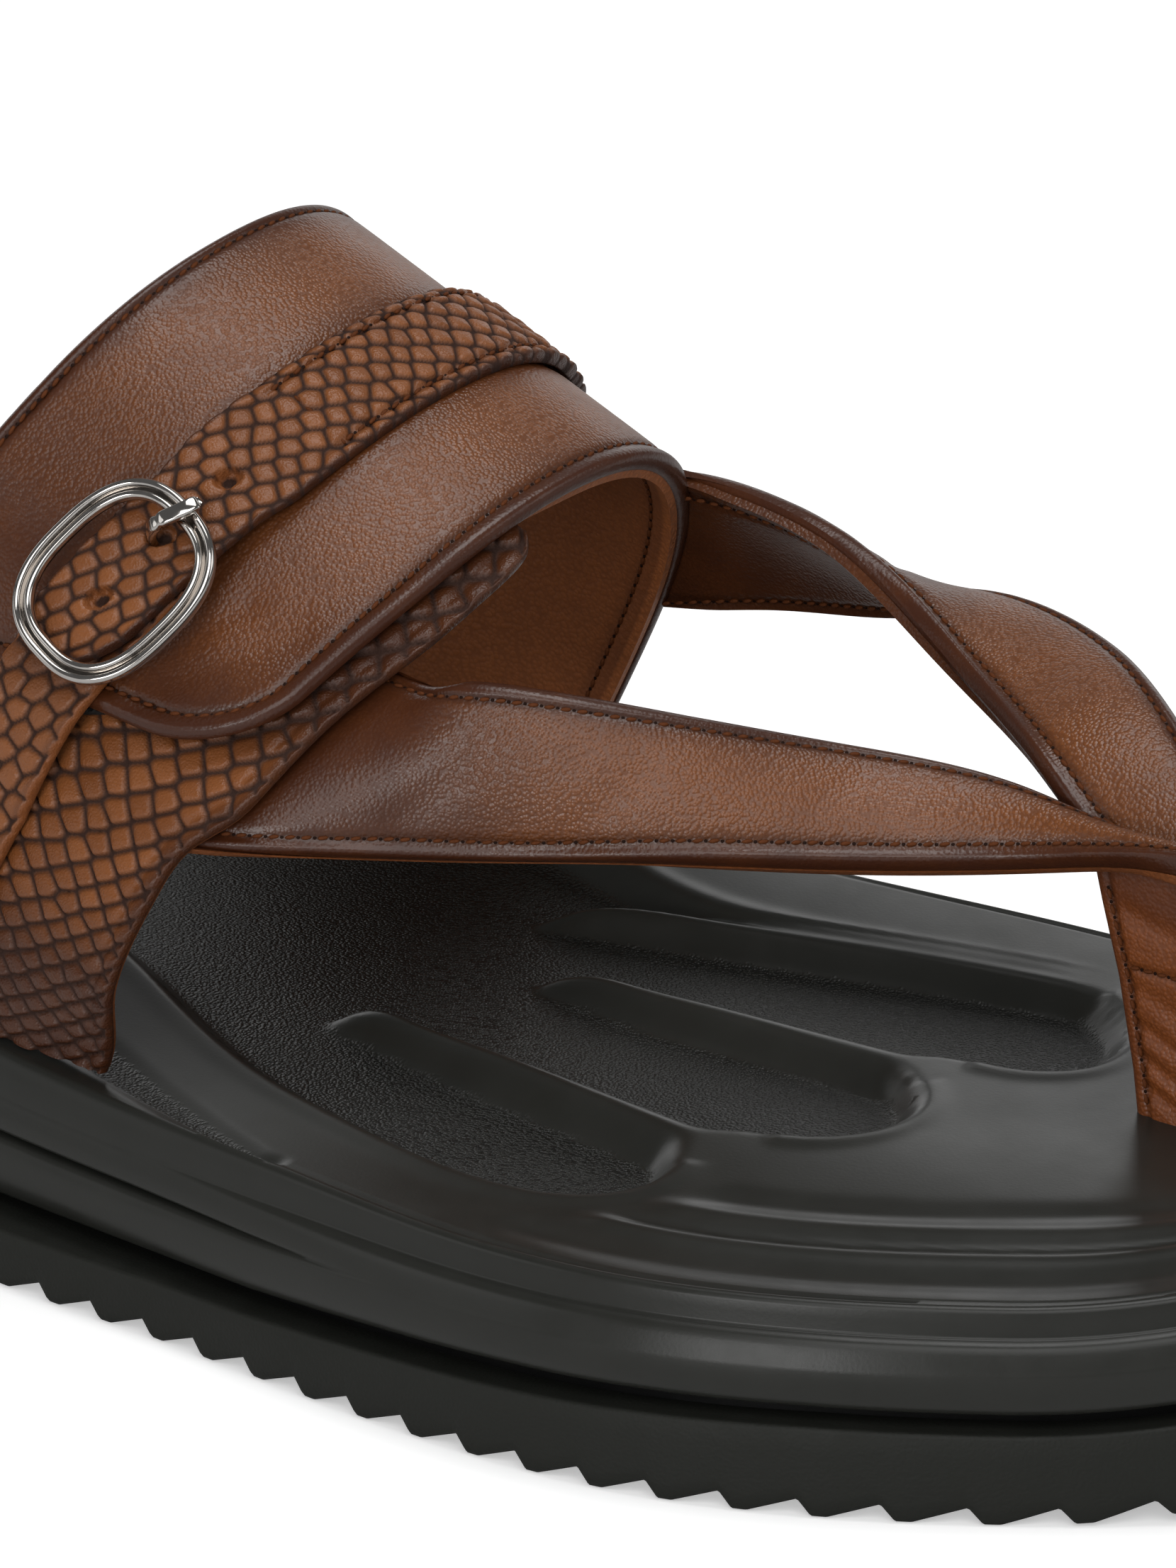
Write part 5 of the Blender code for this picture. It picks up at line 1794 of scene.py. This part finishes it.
# Painted shade, partly burnish: all over, at the root, from and to along the strap, at the tip, from and to
LATERAL_SHADE = (0.0, 0.90, 0.10, 0.36, 0.35, 0.72, 0.95)
MEDIAL_SHADE = (0.15, 0.60, 0.38, 0.52, 0.35, 0.78, 0.95)
LATERAL_LIP, MEDIAL_RAISED = 0.03, (1.2, 1.0)
roots = [[instep([u], [v], [out])[0] for u, v, out in (row[:3], row[3:])] for row in STRAP_ROOT]
lateral_rows = [np.concatenate(ends) for ends in roots] + LATERAL_STRAP
strap_pieces("lateral_strap", lateral_rows, LATERAL_CREASES, LATERAL_SHADE, 0.0, 0.0, LINING, LATERAL_LIP)
strap_pieces("medial_strap", MEDIAL_STRAP, MEDIAL_CREASES, MEDIAL_SHADE, *MEDIAL_RAISED, LEATHER, 0.0)

# %% [markdown]
# Toe post
#
# The post is a ribbon of softer leather, folded and drawn through a slot in the footbed. It is a flattened
# tube: rings of a rounded section, set one over another, with the small wrinkles that a pulled ribbon has.

# %% Post sizes
POST_FOOT, POST_HEAD = 22.6, 53.0
POST_SIDES = [
    # z, rear x, front x
    (22.0, 230.6, 243.0),
    (30.0, 229.5, 243.4),
    (40.0, 227.4, 244.3),
    (48.0, 225.0, 245.4),
    (54.0, 223.4, 246.0),
]
POST_MIDDLE, POST_THICK = 13.0, 4.0
POST_ROUND, POST_COLUMNS, POST_ROWS = 3.2, 110, 90
POST_WRINKLES = [
    # x, z of one end, x, z of the other end, half width, depth
    (231.5, 35.2, 238.0, 32.6, 1.0, 0.45),
    (232.0, 31.6, 238.0, 28.8, 0.9, 0.50),
    (232.5, 28.4, 239.0, 25.6, 0.9, 0.45),
    (236.0, 37.5, 242.0, 33.5, 1.2, 0.40),
    (237.0, 31.0, 242.5, 27.0, 1.1, 0.40),
    (230.5, 39.4, 235.0, 38.0, 1.2, 0.25),
    (229.0, 47.8, 236.0, 46.0, 1.3, 0.35),
]
POST_SEAM, POST_CROSS_SEAM, POST_SEAM_HALF, POST_SEAM_DEPTH = 2.2, 41.7, 0.5, 0.3
POST_STITCH_RUN, POST_CROSS_END, POST_STITCH_STEPS = (26.0, 50.0), 243.0, 80
POST_STITCH_DEEP, POST_STITCH_SINK = 0.25, -0.04
POST_FACE, POST_SEAM_SHADE = (0.2, 0.6), 0.7
POST_REAR_SHADE, POST_REAR_REACH = 0.85, 2.2
# The post is darker towards its foot, and its head is darkened as painted shadow under the straps.
POST_FOOT_SHADE, POST_FOOT_RUN = 0.5, (25.0, 33.0)
POST_SHADE, POST_HEAD_SHADE, POST_HEAD_RUN = 0.30, 0.5, (45.5, 50.0)
print("post height in mm:", POST_HEAD - POST_FOOT)

# %% Post


def rounded(turn, power):
    """A superellipse: how far across and up its point at an angle lies, from -1 to 1."""
    return [np.sign(f) * np.abs(f) ** (2 / power) for f in (np.cos(turn), np.sin(turn))]


def post_point(s, t):
    z = POST_FOOT + (POST_HEAD - POST_FOOT) * t
    rear, front = column(POST_SIDES, z, 1), column(POST_SIDES, z, 2)
    turn = 2 * np.pi * s
    across, thick = rounded(turn, POST_ROUND)
    x = (rear + front) / 2 + (front - rear) / 2 * across
    behind = x - rear
    seam = trough(z, POST_CROSS_SEAM, POST_SEAM_HALF) * (behind > POST_SEAM)
    seam = np.maximum(seam, trough(behind, POST_SEAM, POST_SEAM_HALF))
    flat = np.column_stack([x, z])
    relief = crease_relief(flat, POST_WRINKLES, lambda a, b: np.column_stack([a, b])) - POST_SEAM_DEPTH * seam
    on_face = ease(np.abs(np.sin(turn)), *POST_FACE)
    y = POST_MIDDLE + POST_THICK / 2 * thick + np.sign(np.sin(turn)) * relief * on_face
    # The mark edge: the rear edge burnished, darker towards the foot, painted shadow at the head.
    edge = strongest(
        POST_REAR_SHADE * np.exp(-behind / POST_REAR_REACH),
        POST_FOOT_SHADE * (1 - ease(z, *POST_FOOT_RUN)),
        POST_SHADE + POST_HEAD_SHADE * ease(z, *POST_HEAD_RUN),
    )
    return np.column_stack([x, y, z]), {"edge": edge, "stitch": POST_SEAM_SHADE * seam * on_face}


shape = close_ends(woven_grid(POST_COLUMNS, POST_ROWS, post_point))
piece("toe_post", shape, POST_LEATHER, "upper_leather")

# %% Post stitches
shape = bmesh.new()
seam_z = np.linspace(*POST_STITCH_RUN, POST_STITCH_STEPS)
seam_x = column(POST_SIDES, seam_z, 1) + POST_SEAM
cross_z = np.full(POST_STITCH_STEPS, POST_CROSS_SEAM)
cross_x = np.linspace(column(POST_SIDES, POST_CROSS_SEAM, 1) + POST_SEAM, POST_CROSS_END, POST_STITCH_STEPS)
for side in (-1.0, 1.0):
    y = np.full(POST_STITCH_STEPS, POST_MIDDLE + side * (POST_THICK / 2 - POST_STITCH_DEEP))
    facing = np.tile((0.0, side, 0.0), (POST_STITCH_STEPS, 1))
    for x, z in ((seam_x, seam_z), (cross_x, cross_z)):
        stitches(shape, np.column_stack([x, y, z]), facing, POST_STITCH_SINK)
piece("post_stitching", shape, THREAD, "upper_leather")

# %% [markdown]
# Belt strap and tab
#
# The belt is a narrow strip of scale leather sewn across the band, with a free end through the buckle. The
# tab comes up from the sole and holds the buckle. The belt's cut edges are stained dark and the tab's are
# left raw, with a painted shadow along them. The belt has three punched holes, pressed into the mesh as
# dents whose hearts are painted dark as the shadow inside them.

# %% Belt sizes
BELT_MIDDLE = (BELT_BACK + BELT_FRONT) / 2
BELT_FROM, BELT_TO = 0.13, 0.757
BELT_WALL = 1.8
BELT_LIFT = [
    # v, underside
    (0.00, 4.2),
    (0.10, 4.4),
    (0.36, 5.35),
    (0.60, 5.35),
    (0.69, 7.45),
    (0.80, 7.45),
]
BELT_TIP_V, BELT_TIP_ROUND = 0.03, 0.75
BELT_NARROW_FROM, BELT_NARROW_TO, BELT_NARROW = 0.62, 0.65, 0.9
BELT_HOLES = [0.633, 0.6785, 0.722]
HOLE_RADIUS, HOLE_DEPTH, HOLE_HEART, HEART_DEPTH = 1.35, 1.1, 0.75, 0.5
BELT_ROW, BELT_STACK = (1.27, -2.00), (2.00, 2.10)
BELT_PRESS = {"jitter": 0.13, "seed": 11, "height": 0.50, "tilt": (0.12, 0.14)}
BELT_COLUMNS, BELT_ROWS, BELT_CROWD = 66, 500, 0.35
SEWN_TO, BELT_SEAM, BELT_SEAM_DEPTH, BELT_SEAM_HALF = 0.58, 1.8, 0.45, 0.5
BELT_BACK_SINK, BELT_BACK_REACH, BELT_STRETCH = 0.9, 1.6, 0.06
SEWN_FADE, HOLE_FADE, HEART_FADE, HOLE_RAW = (-0.01, 0.02), (-0.25, 0.1), (-0.15, 0.1), 0.6
BELT_EDGE_SHADE, BELT_EDGE_RUN, BELT_SEAM_SHADE = 0.95, (0.15, 0.9), 0.45
BELT_INNER_SHADE, BELT_INNER_RUN = 0.35, (0.2, 0.4)
belt_lift = smooth_table(BELT_LIFT)
print("belt wall in mm:", BELT_WALL, "holes:", len(BELT_HOLES))

# %% Belt


def belt_width(v):
    """Half the belt's width in u: it narrows before the buckle and is rounded at its tip."""
    tip = np.clip((v - (BELT_TO - BELT_TIP_V)) / BELT_TIP_V, 0.0, 1.0)
    half = (BELT_FRONT - BELT_BACK) / 2 * (1 - (1 - BELT_NARROW) * ease(v, BELT_NARROW_FROM, BELT_NARROW_TO))
    return half * np.sqrt(1 - BELT_TIP_ROUND * tip**2)


def strip_spots(u, v, origin_v):
    """Millimetres across and along a strip near the buckle."""
    per_u, per_v = mm_per(0.5, 0.65)
    return np.column_stack([(u - BELT_MIDDLE) * per_u[0], (v - origin_v) * per_v[0]])


def belt_point(s, t):
    v = BELT_FROM + (BELT_TO - BELT_FROM) * (t + BELT_STRETCH * t * (1 - t))
    half = belt_width(v)
    across = 2 * crowd(s, BELT_CROWD) - 1
    u = BELT_MIDDLE + half * across
    per_u, per_v = mm_per(u, v)
    from_back, from_front = (1 + across) * half * per_u, (1 - across) * half * per_u
    near = np.minimum(np.minimum(from_back, from_front), (BELT_TO - v) * per_v)
    relief, groove, tone = pressed(strip_spots(u, v, 0.5), BELT_ROW, BELT_STACK, **BELT_PRESS)
    sewn = 1 - ease(v - SEWN_TO, *SEWN_FADE)
    seams = [trough(distance, BELT_SEAM, BELT_SEAM_HALF) for distance in (from_back, from_front)]
    seam = strongest(*seams) * sewn
    holes, shaded_hearts = np.zeros(len(u)), np.zeros(len(u))
    for hole in BELT_HOLES:
        reach = np.hypot((u - BELT_MIDDLE) * per_u, (v - hole) * per_v)
        holes = np.maximum(holes, 1 - ease(reach - HOLE_RADIUS, *HOLE_FADE))
        shaded_hearts = np.maximum(shaded_hearts, 1 - ease(reach - HOLE_HEART, *HEART_FADE))
    outer = belt_lift(v, 1) + BELT_WALL + relief + column(CUT, near, 1) - BELT_SEAM_DEPTH * seam
    outer = outer - BELT_BACK_SINK * sewn * (1 - ease(from_back, 0.0, BELT_BACK_REACH))
    outer = outer - HOLE_DEPTH * holes - HEART_DEPTH * shaded_hearts
    inner = belt_lift(v, 1) + column(CUT, near, 2)
    edge = strongest(
        BELT_EDGE_SHADE * (1 - ease(near, *BELT_EDGE_RUN)),
        BELT_SEAM_SHADE * seam,
        BELT_INNER_SHADE * (1 - ease(v, *BELT_INNER_RUN)),
    )
    # The heart of each hole is painted dark as the shadow inside it.
    groove = np.maximum(groove * (1 - holes), shaded_hearts)
    marks = {"groove": groove, "tone": tone, "edge": edge, "raw": HOLE_RAW * holes}
    return instep(u, v, outer), instep(u, v, inner), marks


piece("embossed_belt", sheet(BELT_COLUMNS, BELT_ROWS, belt_point), SCALED, "embossed_leather", "belt_strap")

# %% Tab
TAB_BACK, TAB_FRONT = 0.375, 0.625
TAB_FROM, TAB_TO = 0.70, 0.985
TAB_WALL = 1.7
TAB_LIFT = [
    # v, underside
    (0.68, 5.35),
    (0.785, 5.35),
    (0.85, 2.75),
    (1.00, 2.6),
]
TAB_ROW, TAB_STACK = (1.06, -2.36), (2.24, 2.40)
TAB_PRESS = {"jitter": 0.13, "seed": 23, "height": 0.50, "tilt": (0.12, 0.14)}
TAB_COLUMNS, TAB_ROWS = 60, 200
# Painted shadow along the tab's raised edges, and painted shade at its top, under the flap.
TAB_EDGE_SHADE, TAB_EDGE_RUN, TAB_RAW_RUN = 0.45, (0.4, 1.6), (0.15, 0.5)
TAB_TOP_SHADE, TAB_TOP_RUN = 0.6, (0.74, 0.80)


def tab_point(s, t):
    v = TAB_FROM + (TAB_TO - TAB_FROM) * t
    s = crowd(s, BELT_CROWD)
    u = TAB_BACK + (TAB_FRONT - TAB_BACK) * s
    per_u, per_v = mm_per(u, v)
    near = np.minimum(s, 1 - s) * (TAB_FRONT - TAB_BACK) * per_u
    relief, groove, tone = pressed(strip_spots(u, v, TAB_FROM), TAB_ROW, TAB_STACK, **TAB_PRESS)
    lift = column(TAB_LIFT, v, 1)
    outer = lift + TAB_WALL + relief + column(CUT, near, 1)
    inner = lift + column(CUT, near, 2)
    # Painted shadow along the edges and painted shade at the top, under the flap.
    edge = TAB_EDGE_SHADE * (1 - ease(near, *TAB_EDGE_RUN))
    edge = np.maximum(edge, TAB_TOP_SHADE * (1 - ease(v, *TAB_TOP_RUN)))
    raw = 1 - ease(near, *TAB_RAW_RUN)
    marks = {"groove": groove * (1 - raw), "tone": tone, "edge": edge, "raw": raw}
    return instep(u, v, outer), instep(u, v, inner), marks


piece("embossed_tab", sheet(TAB_COLUMNS, TAB_ROWS, tab_point), SCALED, "tab_leather", "buckle_tab")

# %% Belt stitches
BELT_STITCH_DEEP, BELT_STITCH_SINK = 0.55, -0.05
CROSS_SEAM_U, CROSS_SEAM_V = (0.397, 0.616), (0.566, 0.579)
shape = bmesh.new()
long_v = np.linspace(BELT_FROM + 0.02, SEWN_TO, 300)
half = belt_width(long_v) - BELT_SEAM / mm_per(0.5, long_v)[0]
cross_seam = np.linspace(*CROSS_SEAM_U, 40), np.linspace(*CROSS_SEAM_V, 40)
for u, v in ((BELT_MIDDLE - half, long_v), (BELT_MIDDLE + half, long_v), cross_seam):
    line = instep(u, v, belt_lift(v, 1) + BELT_WALL - BELT_STITCH_DEEP)
    stitches(shape, line, form_normal(u, v), BELT_STITCH_SINK)
piece("belt_stitching", shape, THREAD, "embossed_leather")

# %% [markdown]
# Buckle
#
# The ring is cast with two ridges and polished, then bent to the strap; the prong is a flat wire turned
# round the ring's inner bar. The ring is a section carried round a superellipse, an oval with squarer
# shoulders, and the section shows both ridges in the highlights.

# %% Ring sizes
RING_TOP, RING_FOOT = (0.50, 0.6606, 11.0), (0.485, 0.7544, 11.0)
RING_HALF_LENGTH, RING_HALF_WIDTH, RING_ROUND = 10.4, 8.4, 2.6
RING_SHIFT = (-0.28, 1.1)
RING_SECTION = [
    # out from the wire's middle line, up
    (1.17, -0.18),
    (1.19, 0.23),
    (1.07, 0.64),
    (0.82, 0.90),
    (0.53, 0.92),
    (0.28, 0.72),
    (0.12, 0.33),
    (0.00, 0.09),
    (-0.12, 0.33),
    (-0.28, 0.72),
    (-0.53, 0.92),
    (-0.82, 0.90),
    (-1.07, 0.64),
    (-1.19, 0.23),
    (-1.12, -0.32),
    (-0.73, -0.78),
    (0.00, -0.97),
    (0.73, -0.74),
]
RING_STEPS, SECTION_STEPS = 160, 48
print("ring length and width in mm:", 2 * RING_HALF_LENGTH, 2 * RING_HALF_WIDTH)

# %% Ring


def ring_axes():
    """Middle of the ring, its long half axis, its side direction and its outward direction."""
    ends = [instep([u], [v], [lift])[0] for u, v, lift in (RING_TOP, RING_FOOT)]
    level = (RING_TOP[1] + RING_FOOT[1]) / 2
    left, right = instep([TAB_BACK, TAB_FRONT], [level, level], [RING_TOP[2]] * 2)
    along = (ends[0] - ends[1]) / 2
    side = right - left
    side = unit(side - along * (side @ along) / (along @ along))
    up = unit(np.cross(side, along))
    return (ends[0] + ends[1]) / 2, along, side, up


ring_middle, ring_along, ring_side, ring_up = ring_axes()
if ring_up @ (ring_middle - form([0.5], [0.7])[0]) < 0:
    ring_up = -ring_up
ring_half = np.linalg.norm(ring_along)
ring_oval = np.transpose(rounded(np.linspace(0.0, 2 * np.pi, 400, endpoint=False), RING_ROUND))
ring_path = ring_oval * (RING_HALF_LENGTH, RING_HALF_WIDTH) + RING_SHIFT
RING_LINE = dense(np.concatenate([ring_path, ring_path[:1]]), walked(ring_path)[-1] / 800)
RING_WALK = closed_curve(RING_LINE[::10], RING_STEPS)
RING_PROFILE = closed_curve(RING_SECTION, SECTION_STEPS)


def ring_point(s, t):
    k = np.round(s * RING_STEPS).astype(int) % RING_STEPS
    j = np.round(t * SECTION_STEPS).astype(int) % SECTION_STEPS
    out = outward(RING_WALK)[k]
    flat = RING_WALK[k] + out * RING_PROFILE[j, :1]
    point = ring_middle + flat[:, :1] * ring_along / ring_half + flat[:, 1:] * ring_side
    return point + RING_PROFILE[j, 1:] * ring_up, {}


shape = woven_grid(RING_STEPS, SECTION_STEPS, ring_point)
piece("nickel_ring", shape, NICKEL, "buckle_metal", "buckle_frame")

# %% Prong
PRONG_PATH = [
    # u, v, middle of the wire over the form
    (0.487, 0.6815, 7.8),
    (0.490, 0.6803, 9.8),
    (0.4985, 0.6780, 11.6),
    (0.511, 0.6742, 12.6),
    (0.5245, 0.6692, 12.9),
    (0.534, 0.6645, 12.9),
    (0.5375, 0.6612, 12.7),
    (0.538, 0.6606, 12.6),
]
PRONG_WIDTH, PRONG_THICK, PRONG_ROUND = 0.86, 0.55, 4.0
PRONG_END, PRONG_END_SIZE = 0.985, 0.86
PRONG_WAIST, PRONG_WAIST_AT, PRONG_WAIST_HALF = 0.2, 0.38, 0.03
PRONG_STEPS, PRONG_SIDES, PRONG_LOOK = 60, 20, 0.05
prong_path = np.array(PRONG_PATH)
prong_curve = spline(np.arange(len(prong_path)), prong_path)


def prong_point(s, t):
    place = s * (len(prong_path) - 1)
    here = prong_curve(place)
    ends = [instep(*prong_curve(place + step).T) for step in (-PRONG_LOOK, PRONG_LOOK)]
    along = unit(ends[1] - ends[0])
    side = unit(np.cross(along, form_normal(here[:, 0], here[:, 1])))
    up = np.cross(side, along)
    size = np.where(s > PRONG_END, PRONG_END_SIZE, 1.0)
    size = size - PRONG_WAIST * bell(s - PRONG_WAIST_AT, PRONG_WAIST_HALF)
    wide, thick = rounded(2 * np.pi * t, PRONG_ROUND)
    offset = side * (PRONG_WIDTH * size * wide)[:, None] + up * (PRONG_THICK * size * thick)[:, None]
    return instep(*here.T) + offset, {}


shape = close_ends(woven_grid(PRONG_STEPS, PRONG_SIDES, prong_point))
piece("nickel_prong", shape, NICKEL, "prong_metal", "buckle_prong")

# %% [markdown]
# Hook fabric
#
# The flap closes on the quarter with a patch of hook fabric. Only a dark corner of it shows behind the flap,
# so it is a small sheet between two offsets of the instep form, with a ragged face.

# %% Hook patch
PATCH_U, PATCH_V, PATCH_TALL, PATCH_TAPER = (0.590, 0.085), 0.752, 0.029, 0.010
PATCH_TOP, PATCH_FOOT = 4.0, 2.4
RAGGED, RAGGED_S, RAGGED_T = 0.25, 37.0, 29.0
PATCH_COLUMNS, PATCH_ROWS = 30, 16


def patch_point(s, t):
    u = PATCH_U[0] + PATCH_U[1] * s
    v = PATCH_V + (PATCH_TALL - PATCH_TAPER * s) * t
    ragged = RAGGED * np.sin(RAGGED_S * s) * np.sin(RAGGED_T * t)
    return instep(u, v, PATCH_TOP + ragged), instep(u, v, np.full(len(u), PATCH_FOOT)), {}


piece("hook_patch", sheet(PATCH_COLUMNS, PATCH_ROWS, patch_point), FUZZ, "upper_leather")
